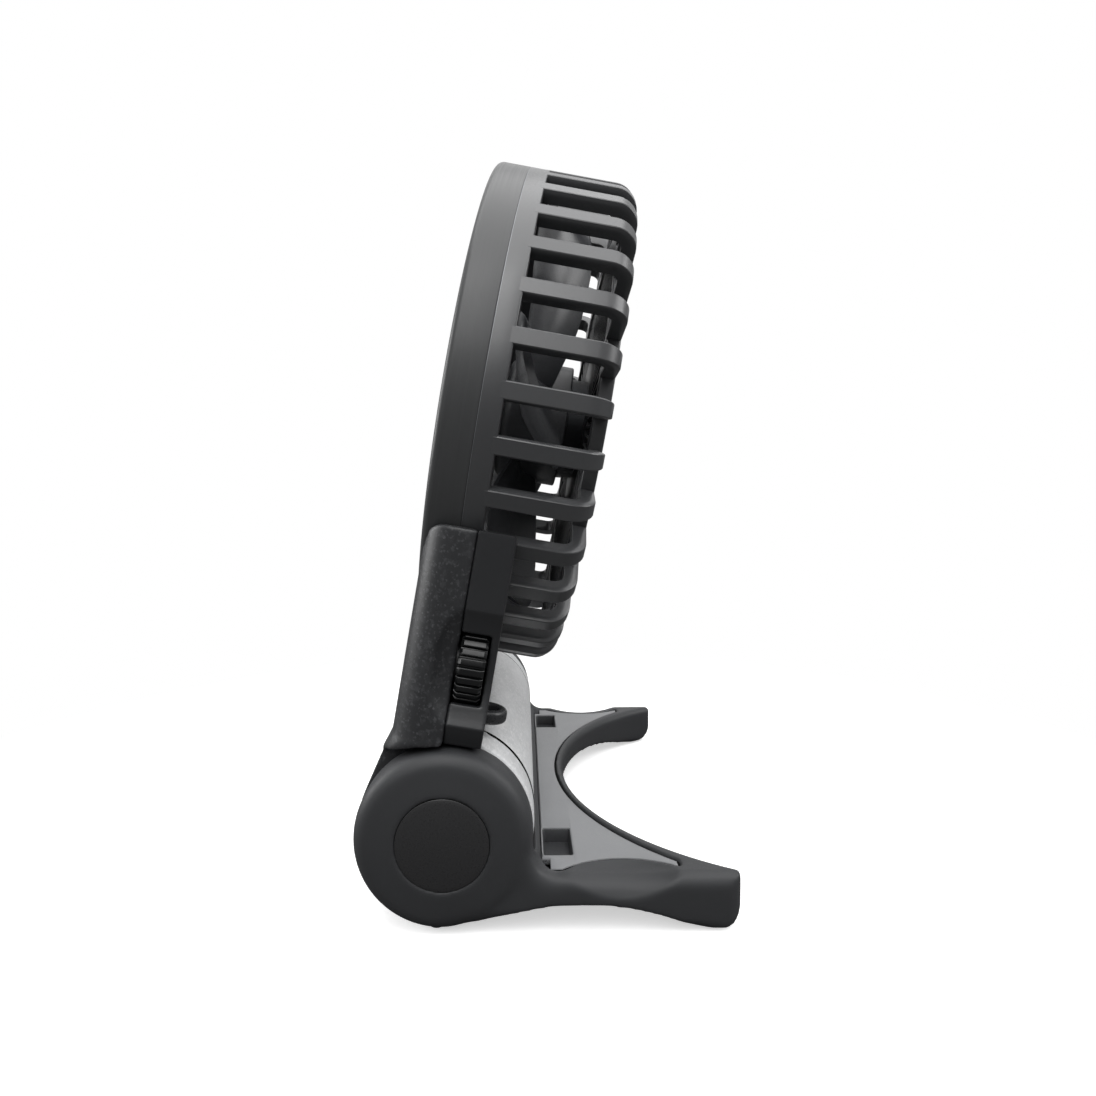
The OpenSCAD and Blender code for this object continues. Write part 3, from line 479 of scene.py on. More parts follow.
def speckled(name, base, fleck, rough, amounts, strengths, depth=0.015, drawn=1.0):
    """Plastic filled with chips near the skin: large faint ones under smaller, lighter ones.

    The chips are 0.3 to 1.3 mm across, and drawn out along X where the melt ran that way.
    """
    material, tree, shader = new_finish(name)
    where = add(tree, "ShaderNodeMapping", None,
                {"Vector": millimetres(tree), "Scale": (1 / drawn, 1, 1)}).outputs[0]
    cloud = add(tree, "ShaderNodeTexNoise", None,
                {"Vector": where, "Scale": 1 / 9, "Detail": 3.0}).outputs["Fac"]
    fine = add(tree, "ShaderNodeTexNoise", None,
               {"Vector": where, "Scale": 1 / 0.3, "Detail": 3.0, "Roughness": 0.6}).outputs["Fac"]
    tone = toned(tree, cloud, 0.3, 0.7, times(base, 0.93), times(base, 1.07))
    height = fine
    for k, (size, amount, strength) in enumerate(zip((1.3, 0.62, 0.34), amounts, strengths)):
        mask = flecks(tree, where, size, amount, 11.3 * (k + 1))
        patch = add(tree, "ShaderNodeTexNoise", None,
                    {"Vector": where, "Scale": 1 / (size * 1.8), "Detail": 1.0}).outputs["Fac"]
        uneven = add(tree, "ShaderNodeMapRange", None, {
            "Value": patch, "From Min": 0.3, "From Max": 0.7,
            "To Min": 0.25 * strength, "To Max": strength}).outputs[0]
        shown = add(tree, "ShaderNodeMath", {"operation": "MULTIPLY"},
                    {0: mask, 1: uneven}).outputs[0]
        tone = toned(tree, shown, 0, 1, tone, fleck)
        height = add(tree, "ShaderNodeMath", {"operation": "MULTIPLY_ADD"},
                     {0: shown, 1: 0.5, 2: height}).outputs[0]
    surfaced(tree, shader, tone, fine, rough, 0.055, height, depth)
    return material


def brushed_band(name, base, rough):
    """Painted band with a turned finish: hair lines, about 0.3 mm apart, that run round it."""
    material, tree, shader = new_finish(name)
    stretched = add(tree, "ShaderNodeMapping", None,
                    {"Vector": millimetres(tree, RING), "Scale": (0.03, 0.03, 3.2)}).outputs[0]
    hair = add(tree, "ShaderNodeTexNoise", None,
               {"Vector": stretched, "Scale": 1.0, "Detail": 4.0, "Roughness": 0.7}).outputs["Fac"]
    tone = toned(tree, hair, 0.35, 0.65, times(base, 0.95), times(base, 1.05))
    surfaced(tree, shader, tone, hair, rough, 0.07, hair, 0.004)
    return material


def metal(name, base, rough, line=0.25):
    """Bare metal with faint drawn lines, a quarter of a millimetre apart if not told otherwise."""
    material, tree, shader = new_finish(name)
    drawn = add(tree, "ShaderNodeMapping", None,
                {"Vector": millimetres(tree), "Scale": (0.2, 1, 1)}).outputs[0]
    lines = add(tree, "ShaderNodeTexNoise", None, {
        "Vector": drawn, "Scale": 1 / line, "Detail": 3.0, "Roughness": 0.6}).outputs["Fac"]
    shader.inputs["Metallic"].default_value = 1.0
    surfaced(tree, shader, toned(tree, lines, 0, 1, times(base, 0.9), base), lines, rough, 0.07,
             lines, 0.008)
    return material


def circuit_board(name, base, track):
    """Glass-filled laminate under green lacquer, with lighter tracks 1 mm apart showing through."""
    material, tree, shader = new_finish(name)
    where = millimetres(tree)
    cells = add(tree, "ShaderNodeTexVoronoi", {"distance": "MANHATTAN", "feature": "F1"},
                {"Vector": where, "Scale": 0.35, "Randomness": 0.6})
    lines = add(tree, "ShaderNodeTexWave", {"bands_direction": "DIAGONAL"},
                {"Vector": cells.outputs["Position"], "Scale": 0.9}).outputs["Fac"]
    fine = add(tree, "ShaderNodeTexNoise", None, {"Vector": where, "Scale": 2.5}).outputs["Fac"]
    surfaced(tree, shader, toned(tree, lines, 0.6, 0.7, base, track), fine, 0.3, 0.05, lines, 0.03)
    return material


# ----------------------------------------------------------------------- sizes

class FanStandLook(bpy.types.PropertyGroup):
    """Sizes and colours of the stand."""
    skin: length("Skin step", "Size of the steps that the stand's skin is drawn with", 0.45)
    outer_round: length("Outer rounding", "Rounding of the legs' outer top edge", 2.6)
    rim_round: length("Rim rounding", "Rounding of the crescent's top edge", 1.7)
    scoop_depth: length("Scoop depth", "Depth of the dent in each leg's outer edge", 2.0)
    scoop_length: length("Scoop length", "Length of the dent in each leg's outer edge", 21)
    plate_edge: length("Plate edge", "Easing of the cover plate's edges", 0.28)
    plate_gap: length("Plate gap", "How far the plate's outline stands back from its rim", 0.3)
    cap_dome: length("Cap dome", "Height of the pivot caps' dome", 0.65)
    frame_colour: colour("Frame", "Satin plastic of the stand", "3a3b3d")
    cap_colour: colour("Cap", "Plastic of the pivot caps", "303031")
    plate_colour: colour("Plate", "Plastic of the cover plate", "88898b")
    # Pocket wells: their dark tone is partly the plastic's own and partly painted shade in the
    # recess
    well_colour_and_shade: colour("Pocket wells", "Dark plastic of the plate's two pockets, with painted shade for the recess", "3c3d3f")
    foot_colour: colour("Foot", "Rubber of the small feet", "161617")


class FanBodyLook(bpy.types.PropertyGroup):
    """Sizes and colours of the body and its drum."""
    skin: length("Skin step", "Size of the steps that the front shell's skin is drawn with", 0.36)
    fine_skin: length("Fine skin step", "Size of the steps that the rear shell's skin is drawn with",
                      0.3)
    cover_edge: length("Cover edge", "Easing of the drum cover's edges", 0.25)
    shell_colour: colour("Front shell", "Base of the speckled front shell", "2f3032")
    shell_fleck: colour("Front shell's chips", "Chips in the front shell", "6a6b6e")
    rear_colour: colour("Rear shell", "Plastic of the rear shell", "2c2d2f")
    cover_colour: colour("Drum cover", "Base of the drum's cover", "d9dadb")
    cover_fleck: colour("Drum cover's chips", "Chips in the drum's cover", "eeeeef")
    eye_colour: colour("Strap eye", "Plastic of the strap eye", "343537")


class FanRingLook(bpy.types.PropertyGroup):
    """Sizes and colours of the round head."""
    rib_count: whole_number("Side ribs", "Ribs round the cage", 36)
    rib_edge: length("Rib edge", "Rounding of a side rib's outer edges", 0.4)
    grille_ribs: whole_number("Front ribs", "Ribs of the front grille", 30)
    grille_rib_w: length("Front rib width", "Width of one front rib", 1.4)
    fin_count: whole_number("Rear fins", "Fins of the rear grille", 72)
    fin_w: length("Fin width", "Width of one rear fin", 1.0)
    cut_w: length("Cut line", "Width of the bright line at the bezel's seam", 0.13)
    cut_colour: colour("Cut line", "Bare metal at the bezel's seam", "8c8e91")
    bezel_colour: colour("Bezel", "Paint of the brushed bezel", "474849")
    cage_colour: colour("Cage", "Plastic of the cage", "434446")
    grille_colour: colour("Grilles", "Plastic of both grilles", "202123")


class FanImpellerLook(bpy.types.PropertyGroup):
    """Sizes and colours of the impeller."""
    blade_count: whole_number("Blades", "Blades of the impeller", 7, 2)
    blade_t: length("Blade thickness", "Thickness of one blade at its middle", 1.6)
    blade_colour: colour("Blades", "Semi-gloss plastic of the blades", "48494c")


class FanDialLook(bpy.types.PropertyGroup):
    """Sizes and colours of the thumb dial."""
    ridge_count: whole_number("Ridges", "Ridges round the dial", 28)
    ridge_h: length("Ridge height", "How far a ridge stands out of the dial's core", 0.75)
    dial_colour: colour("Dial", "Gloss plastic of the dial", "121314")


class FanStageLook(bpy.types.PropertyGroup):
    """Levels of the studio."""
    floor_colour: colour("Floor", "Pale floor", "f4f4f4")
    floor_return: colour("Floor's return", "Tone of the floor as it lights the fan", "5c5c5c")
    mirrored: plain_number("Mirrored surround",
                           "How much of the white surround a gloss surface mirrors", 0.12)
    sky_low: plain_number("Low sky", "Level of the even light at the horizon", 0.1)
    sky_high: plain_number("High sky", "Level of the even light overhead", 0.6)
    top: watts("Top light", "Power of the softbox overhead", 2.1)
    front: watts("Front light", "Power of the softbox before the fan", 3.3)
    rear: watts("Rear light", "Power of the softbox behind the fan", 2.5)
    side: watts("Side light", "Power of the softbox on the dial's side", 1.9)
    back: watts("Far light", "Power of the softbox beyond the fan", 1.2)


# ------------------------------------------------------------------- operators

class FAN_OT_stand_frame(bpy.types.Operator):
    """Make the stand: one satin moulding with soft edges and a dent in each leg"""
    bl_idname = "fan.stand_frame"
    bl_label = "Stand Frame"

    def execute(self, context):
        look = context.scene.fan_stand
        # Satin ABS, spark-eroded: a soft, even grey with a broad faint highlight
        satin = moulded("Satin moulded ABS, stand", look.frame_colour, 0.5, 0.3, 0.01, 0.05, 0.4)
        outer, rim = look.outer_round / MM, look.rim_round / MM
        depth, half = look.scoop_depth / MM, look.scoop_length / MM / 2
        dent_y, dent_inset, dent_half_width = 34.2, 2.1, 6.4
        leg_from, leg_root = 19, 18

        def round_corner(a, b, edge_a, edge_b, r):
            """Moves points past a corner's arc of radius r back on it."""
            da, db = a - (edge_a - r), b - (edge_b - r)
            away = np.hypot(da, db)
            out = (da > 0) & (db > 0) & (away > r)
            scale = np.where(out, r / np.maximum(away, 1e-9), 1)
            return (np.where(out, edge_a - r + da * scale, a),
                    np.where(out, edge_b - r + db * scale, b))

        def shape(p, edges):
            side, x, y, z = np.sign(p[:, 0]), np.abs(p[:, 0]), p[:, 1].copy(), p[:, 2].copy()
            leg = (y > leg_from) & (z < LEG_TOP + 0.3)
            rx, rz = round_corner(x, z, LEG_HW, LEG_TOP, outer)
            x, z = np.where(leg, rx, x), np.where(leg, rz, z)
            reach = np.hypot(x, y - NEST_Y)
            nr, nz = round_corner(-reach, z, -NEST_R, LEG_TOP, rim)
            mouth = leg & (reach < NEST_R + rim + 0.3)
            grown = np.where(mouth, -nr / np.maximum(reach, 1e-9), 1)
            x, y, z = x * grown, NEST_Y + (y - NEST_Y) * grown, np.where(mouth, nz, z)
            # the dent follows the outer top edge: long along Y, short round the edge
            round_edge = (x - LEG_HW) - (z - LEG_TOP)
            inside = (1 - ((y - dent_y) / half) ** 2
                      - ((round_edge + dent_inset) / dent_half_width) ** 2)
            near = (x > LEG_HW - 8.6) & (z > LEG_TOP - 4.6) & leg
            dent = depth * np.where(near, np.clip(inside, 0, 1), 0) ** 0.9
            x, z = x - dent * 0.75, z - dent * 0.65
            p = np.stack([side * x, y, z], 1)
            plate_rim = (np.abs(p[:, 2] - LEG_TOP) < 1.6) & (y > leg_root) & (x < LEG_HW - 2.5)
            recess = np.hypot(p[:, 1], p[:, 2] - PIVOT[2]) < CAP_R + 1.2
            recess &= np.abs(p[:, 0]) > STAND_HW - 2.2
            soft = np.where(plate_rim, 0.35, 1.0) * np.where(recess, 0.15, 1.0)
            p = relaxed(p, edges, soft, 5)
            # the knuckle flows into the leg, and the leg's underside into both its ends
            root, below, end = [
                np.exp(-((p[:, 1] - at_y) / wide) ** 2 - ((p[:, 2] - at_z) / high) ** 2)
                for at_y, wide, at_z, high in ((19, 3.6, 12, 3.8), (7, 4.5, 1.6, 2.5),
                                               (49, 3.5, 0, 1.6))]
            root *= np.abs(p[:, 0]) > STAND_HW - 9
            return relaxed(p, edges, np.maximum(np.maximum(root, below), end), 80)

        put("stand_shell", moulded_skin("stand_frame", look.skin, STAND, shape), satin,
            "stand", "stand_case", "stand_frame", smooth_below=SKIN_SMOOTH_BELOW)
        return {"FINISHED"}


class FAN_OT_cover_plate(bpy.types.Operator):
    """Make the stand's cover plate: a flat crescent with eased edges and two pockets"""
    bl_idname = "fan.cover_plate"
    bl_label = "Cover Plate"

    def execute(self, context):
        look = context.scene.fan_stand
        # Grey ABS with a matt grain: flat, pale, with thin bright edges
        grey = moulded("Matt moulded ABS, grey plate", look.plate_colour, 0.46, 0.4, 0.014, 0.04)
        edge, gap, step = look.plate_edge / MM, look.plate_gap / MM, 1.6

        def on_circle(x, y, r, angle):
            return (x + r * math.cos(angle), y + r * math.sin(angle))

        def outline_at(inset):
            """The plate's outline, drawn in by an inset, from the crescent's middle round."""
            arc_r, bow_r, tip = PLATE_ARC_R + inset, BOW_R + inset, PLATE_TIP - inset
            arc_end = math.asin((tip - PLATE_ARC_Y) / arc_r)
            half = [on_circle(0, PLATE_ARC_Y, arc_r, a)
                    for a in np.linspace(-math.pi / 2, arc_end, 40)]
            bow = math.asin((tip - BOW_Y) / bow_r)
            low = math.acos((BOW_X - PLATE_HW + inset) / bow_r)
            half += [on_circle(BOW_X, BOW_Y, bow_r, math.pi - bow + (low + bow) * k / 24)
                     for k in range(25)]
            half += [(PLATE_HW - inset, PLATE_FRONT + step), (PLATE_HW - 4.3, PLATE_FRONT + step),
                     (PLATE_HW - 4.3, PLATE_FRONT)]
            return half + [(-x, y) for x, y in reversed(half[1:])]

        def pocket_ring(inset):
            return rectangle(inset - POCKET_HW, POCKET_HW - inset, POCKET_FRONT + inset,
                             POCKET_FRONT + POCKET_L - inset, 0.5)

        pockets = [[(s * EYE_X + x, y) for x, y in pocket_ring(0)] for s in (-1, 1)]
        top = plate_mesh("top", [outline_at(gap)] + pockets, PLATE_Z - PLATE_T, PLATE_Z, edge,
                         STAND)
        put("cover_plate", top, grey, "stand", "grey_plate", "stand_cover_plate")
        # Painted shadow: a black film under the plate's edge stands in for the shade in the gap and
        # shows as a thin dark line round it
        gap_shade = moulded("Painted shadow gap, black", linear("0a0a0a"), 0.8, 0.2, 0.02, 0.1, 0.1)
        under = plate_mesh("under", [outline_at(-0.12)] + pockets, PLATE_Z - PLATE_T, PLATE_Z - 0.3,
                           0.02, STAND)
        put("plate_film", under, gap_shade, "stand", "grey_plate")
        # The wells are moulded with the stand's own dark plastic and sit under the plate; their dark
        # tone is also painted shade for the deep pockets
        dark = moulded("Satin moulded ABS, pocket wells with painted shade", look.well_colour_and_shade, 0.45, 0.3, 0.01, 0.06,
                       0.4)
        floor, lip = PLATE_Z - POCKET_DEPTH, PLATE_Z - 0.35
        cup = [np.array([(x, y, z) for x, y in pocket_ring(inset)]) for inset, z in (
            (-0.3, floor - 0.5), (-0.3, lip), (0.05, lip), (0.2, lip - 0.3), (0.35, floor))]
        wells = [loft([ring + (s * EYE_X, 0, 0) for ring in cup]) for s in (-1, 1)]
        put("pocket_wells", mesh_of("pocket_wells", wells, STAND), dark, "stand", "grey_plate")
        return {"FINISHED"}


class FAN_OT_pivot_caps(bpy.types.Operator):
    """Make the round, faintly domed caps over the hinge pins"""
    bl_idname = "fan.pivot_caps"
    bl_label = "Pivot Caps"

    def execute(self, context):
        look = context.scene.fan_stand
        # Smooth ABS, a shade darker than the knuckles and a little glossier
        smooth = moulded("Smooth moulded ABS, cap", look.cap_colour, 0.3, 0.5, 0.0003, 0.03)
        dome, edge = look.cap_dome / MM, CAP_R - 0.04
        profile = [(0, -CAP_T), (CAP_R + 0.05, -CAP_T), (CAP_R + 0.05, -0.06), (CAP_R, -0.02)]
        profile += [(r, dome * (1 - (r / edge) ** 2)) for r in np.linspace(edge, 0, 12)]
        for name, side in (("pivot_cap_left", -1), ("pivot_cap_right", 1)):
            place = STAND @ Matrix.Translation(Vector((side * STAND_HW, 0, PIVOT[2])) * MM) \
                @ Matrix.Rotation(side * math.pi / 2, 4, "Y")
            put(name + "_cap", mesh_of(name, [turned(profile, 120)], place), smooth,
                "stand", "cap", name)
        return {"FINISHED"}


def pale_chips(look):
    """ABS filled with chips, pale: a soft white-grey with faint brighter flecks."""
    name = "Chip-filled ABS, pale"
    return bpy.data.materials.get(name) or speckled(
        name, look.cover_colour, look.cover_fleck, 0.42, (0.3, 0.25, 0.2), (0.4, 0.6, 0.9),
        0.003, 2.4)


def divided(mesh, place, y):
    """A mesh cut into faces before and behind a plane across Y, in its upright place."""
    made = bmesh.new()
    made.from_mesh(mesh)
    bmesh.ops.bisect_plane(
        made, geom=made.verts[:] + made.edges[:] + made.faces[:], dist=1e-7,
        plane_co=place @ Vector((0, y * MM, 0)), plane_no=place.to_3x3() @ Vector((0, 1, 0)))
    bmesh.ops.triangulate(made, faces=[face for face in made.faces if len(face.verts) > 4])
    return written(made, mesh)


class FAN_OT_body_shells(bpy.types.Operator):
    """Make the speckled front shell and the plain rear shell"""
    bl_idname = "fan.body_shells"
    bl_label = "Body Shells"

    def execute(self, context):
        look = context.scene.fan_body
        # ABS filled with pale chips under a satin skin: dark, with ragged lighter flecks
        chips = speckled("Chip-filled ABS, dark", look.shell_colour, look.shell_fleck, 0.4,
                         (0.18, 0.12, 0.1), (0.12, 0.26, 0.42), drawn=1.4)

        def softened(passes):
            return lambda p, edges: relaxed(p, edges, np.ones(len(p)), passes)

        def footed(p, edges):
            """Softens the skin, and leans the foot's two corners in line with the flare."""
            p = relaxed(softened(6)(p, edges), edges, (p[:, 2] < BODY_FOOT - 1) * 0.9, 24)
            side = np.clip((np.abs(p[:, 0]) - DRUM_HL + 0.6) / 0.8, 0, 1)
            ahead = np.clip((-p[:, 1] - BODY_SEAM) / (BODY_FRONT - BODY_SEAM), 0, 1)
            p[:, 1] -= np.clip(BODY_FOOT - p[:, 2], 0, 6) * FLARE_SLOPE * side * ahead
            return p

        front = moulded_skin("front_body_shell", look.skin, HEAD, footed)
        front = divided(front, HEAD, BODY_REAR)
        piece = add_piece("front_shell", front, chips, SKIN_SMOOTH_BELOW)
        # The drum's ends are as pale as its cover
        front.materials.append(pale_chips(look))
        to_head = HEAD.inverted()
        for face in front.polygons:
            face.material_index = int((to_head @ face.center).y > BODY_REAR * MM)
        settle(piece, "head", "speckled_shell", "front_body_shell")
        # Smooth ABS, polished mould: near black, with thin bright lines along its edges
        smooth = moulded("Smooth moulded ABS, rear shell", look.rear_colour, 0.34, 0.5, 0.006, 0.04)
        rear = moulded_skin("rear_body_shell", look.fine_skin, HEAD, softened(1))
        put("rear_shell", rear, smooth, "head", "dark_case", "rear_body_shell",
            smooth_below=SKIN_SMOOTH_BELOW)
        return {"FINISHED"}


class FAN_OT_drum_cover(bpy.types.Operator):
    """Make the drum's pale speckled cover"""
    bl_idname = "fan.drum_cover"
    bl_label = "Drum Cover"

    def execute(self, context):
        look = context.scene.fan_body
        put("drum_cover", eased("drum_rear_cover", look.cover_edge), pale_chips(look),
            "head", "light_speckled", "drum_rear_cover")
        # Painted shadow in the joints at the cover's ends: a black strip stands in for the shade in
        # the seam and shows as a thin dark line
        rubber = moulded("Painted seam shadow, drum's joints", linear("0b0b0b"), 0.7, 0.2, 0.01, 0.1,
                         0.2)
        first = math.asin((BODY_REAR + 0.1) / DRUM_R)
        strip = rectangle(DRUM_R - 0.8, DRUM_R + 0.03, COVER_HW - 0.05, COVER_HW + 0.15,
                          0, 0.02, 0.02, 0)
        strips = [turned([(r, side * x) for r, x in strip], 72, first, math.pi - 2 * first)
                  for side in (-1, 1)]
        place = HEAD @ Matrix.Rotation(math.pi / 2, 4, "Y")
        put("drum_seams", mesh_of("drum_seams", strips, place), rubber, "head", "light_speckled")
        return {"FINISHED"}


class FAN_OT_strap_eye(bpy.types.Operator):
    """Make the strap eye: a round-edged loop on the rear shell"""
    bl_idname = "fan.strap_eye"
    bl_label = "Strap Eye"

    def execute(self, context):
        look = context.scene.fan_body
        # Glossy ABS: worn smooth by the strap, so it has a clear highlight
        glossy = moulded("Gloss moulded ABS, strap eye", look.eye_colour, 0.3, 0.5, 0.005)
        low, high = -EYE_T / 2, EYE_T / 2
        section = rectangle(EYE_HOLE_R, EYE_R, low, high, 0.7, 0.85, 0.85, 0.7, steps=5)
        sunk = math.radians(6)
        loop = turned(section, 48, -sunk, math.pi + 2 * sunk)
        place = HEAD @ Matrix.Translation(Vector((EYE_X, BODY_REAR, EYE_UP)) * MM)
        put("strap_loop", mesh_of("strap_loop", [loop], place), glossy,
            "head", "dark_case", "strap_eye")
        return {"FINISHED"}


class FAN_OT_bezel(bpy.types.Operator):
    """Make the bezel: a brushed band with a rolled front rim"""
    bl_idname = "fan.bezel"
    bl_label = "Bezel"

    def execute(self, context):
        look = context.scene.fan_ring
        # Charcoal paint over a turned band: hair lines round it, lighter towards the light
        band = brushed_band("Brushed charcoal band", look.bezel_colour, 0.36)
        inner = RING_R - BEZEL_WALL
        profile = rounded([
            (inner, BEZEL_SEAM, 0.1), (RING_R, BEZEL_SEAM, 0.32), (RING_R, RIM_FRONT, 1.4),
            (LIP_R, RIM_FRONT, 0.7), (LIP_R, RIM_FRONT - LIP_T, 0.3),
            (inner, RIM_FRONT - LIP_T, 0)], 6)
        put("bezel_band", mesh_of("bezel_band", [turned(profile, 220)], RING), band,
            "head", "ring", "front_bezel")
        # Paint cut back at the seam: a hair line of bare bright metal round the band
        bare = metal("Bare cut aluminium, bezel's edge", look.cut_colour, 0.5)
        half = look.cut_w / MM / 2
        line = rectangle(RING_R - 0.5, RING_R, BEZEL_SEAM - half, BEZEL_SEAM + half,
                         0, 0.02, 0.02, 0)
        put("bezel_line", mesh_of("bezel_line", [turned(line, 220)], RING), bare, "head", "ring")
        return {"FINISHED"}


class FAN_OT_cage(bpy.types.Operator):
    """Make the cage: its band, its rear ring and the curved ribs between them"""
    bl_idname = "fan.cage"
    bl_label = "Cage"

    def execute(self, context):
        look = context.scene.fan_ring
        # Satin ABS: dark ribs whose rounded edges catch thin lines of light
        satin = moulded("Satin moulded ABS, cage", look.cage_colour, 0.33, 0.4, 0.004, 0.04, 0.9)
        edge, count = look.rib_edge / MM, look.rib_count
        half_step = math.pi / count
        bend_r, bend_z = RING_R - CAGE_CORNER, CAGE_REAR + CAGE_CORNER

        def half_width(r):
            """Half a rib's width between two slots with parallel walls."""
            return (r * math.sin(half_step) - SLOT_W / 2) / math.cos(half_step)

        path = [(RING_R, z, RING_R - CAGE_WALL, z)
                for z in np.linspace(SLOT_FRONT + 0.8, bend_z, 6)]
        for k in range(1, 10):
            c, s = math.cos(math.radians(10 * k)), math.sin(math.radians(10 * k))
            inner = CAGE_CORNER - CAGE_WALL
            path.append((bend_r + CAGE_CORNER * c, bend_z - CAGE_CORNER * s,
                         bend_r + inner * c, bend_z - inner * s))
        path += [(r, CAGE_REAR, r, CAGE_REAR + CAGE_WALL)
                 for r in np.linspace(bend_r - 1, REAR_RING_RI + REAR_RING_W - 0.8, 4)]
        rings = []
        for ro, zo, ri, zi in path:
            wo, wi = half_width(ro), half_width(ri)
            outline = np.array(rounded([(-wo, 0, edge), (wo, 0, edge), (wi, 1, edge * 0.16),
                                        (-wi, 1, edge * 0.16)]))
            outline[:, 1] = np.clip(outline[:, 1], 0, None)
            rings.append(np.stack([ro + (ri - ro) * outline[:, 1], outline[:, 0],
                                   zo + (zi - zo) * outline[:, 1]], 1))
        ribs = around("cage_ribs", loft(rings), count, 0.0, satin)
        band = rectangle(RING_R - CAGE_WALL, RING_R, SLOT_FRONT, BEZEL_SEAM, 0.3, 0.35, 0.05, 0.1)
        rear = rectangle(REAR_RING_RI, REAR_RING_RI + REAR_RING_W, CAGE_REAR,
                         CAGE_REAR + CAGE_WALL, 0.5, 0.4, 0.4, 0.3)
        rounds = mesh_of("cage_rounds", [turned(band, 220), turned(rear, 160)])
        put("cage_shell", joined("cage_shell", [ribs, rounds], RING), satin,
            "head", "cage", "rear_cage")
        return {"FINISHED"}


class FAN_OT_front_grille(bpy.types.Operator):
    """Make the front grille: straight ribs, a tie ring, a flange and the hub's disc"""
    bl_idname = "fan.front_grille"
    bl_label = "Front Grille"

    def execute(self, context):
        look = context.scene.fan_ring
        # Satin ABS, a shade darker than the cage, so the openings read as depth
        satin = moulded("Satin moulded ABS, grille", look.grille_colour, 0.4, 0.4, 0.008, 0.05)
        half, front = look.grille_rib_w / MM / 2, GRILLE_BACK + GRILLE_T
        across = rectangle(-half, half, GRILLE_BACK, front, 0.15, 0.15, 0.45, 0.45, steps=3)
        rib = bar(across, (GRILLE_HUB_R - 0.6, TIE_R, LIP_R - 0.4))
        ribs = around("grille_ribs", rib, look.grille_ribs, 0.0, satin)
        tie = rectangle(TIE_R - 0.8, TIE_R + 0.8, GRILLE_BACK, front, 0.2, 0.2, 0.5, 0.5)
        flange = rectangle(LIP_R - 1.5, RING_R - BEZEL_WALL - 0.1, GRILLE_BACK, front,
                           0.2, 0.2, 0.1, 0.5)
        hub = rectangle(0, GRILLE_HUB_R, GRILLE_BACK, front, 0, 0.4, 0.8, 0)
        rounds = mesh_of("grille_rounds", [turned(tie, 120), turned(flange, 180), turned(hub, 96)])
        put("front_guard", joined("front_guard", [ribs, rounds], RING), satin,
            "head", "grille", "front_grille")
        # Brushed disc, a shade lighter than the grille and faintly domed
        disc_finish = brushed_band("Brushed charcoal disc", look.bezel_colour, 0.34)
        disc_r = GRILLE_HUB_R - 1.5
        dome = [(disc_r * math.sin(a), front + 0.3 + 0.5 * math.cos(a))
                for a in np.linspace(math.pi / 2, 0, 12)]
        disc = mesh_of("hub_disc", [turned([(0, front), (disc_r, front)] + dome, 96)], RING)
        put("hub_disc", disc, disc_finish, "head", "ring", "grille_hub_disc")
        return {"FINISHED"}


class FAN_OT_rear_grille(bpy.types.Operator):
    """Make the rear grille: thin fins round a closed hub"""
    bl_idname = "fan.rear_grille"
    bl_label = "Rear Grille"

    def execute(self, context):
        look = context.scene.fan_ring
        # The same satin ABS, a little smoother on the thin fins
        satin = moulded("Satin moulded ABS, rear grille", look.grille_colour, 0.36, 0.4, 0.008,
                        0.05)
        half, outer = look.fin_w / MM / 2, REAR_RING_RI - 0.05
        front = CAGE_REAR + REAR_T
        across = rounded([(-half, CAGE_REAR + 0.1, 0.3), (half, CAGE_REAR + 0.1, 0.3),
                          (half * 0.7, front, 0.15), (-half * 0.7, front, 0.15)], 2)
        fin = bar(across, (REAR_HUB_R - 0.5, outer - 0.8))
        fins = around("rear_fins", fin, look.fin_count, math.pi / look.fin_count, satin)
        rim = rectangle(outer - 1.2, outer, CAGE_REAR, front, 0.2, 0.1, 0.1, 0.3)
        hub = plate_mesh("rear_hub", [circle(REAR_HUB_R)] + [
            circle(SCREW_HEAD_R + 0.05, 24, s * MOTOR_SCREW_X) for s in (-1, 1)],
            CAGE_REAR, front, 0.25)
        rim = mesh_of("rear_rim", [turned(rim, 160)])
        put("rear_guard", joined("rear_guard", [fins, rim, hub], RING), satin,
            "head", "grille", "rear_grille")
        return {"FINISHED"}


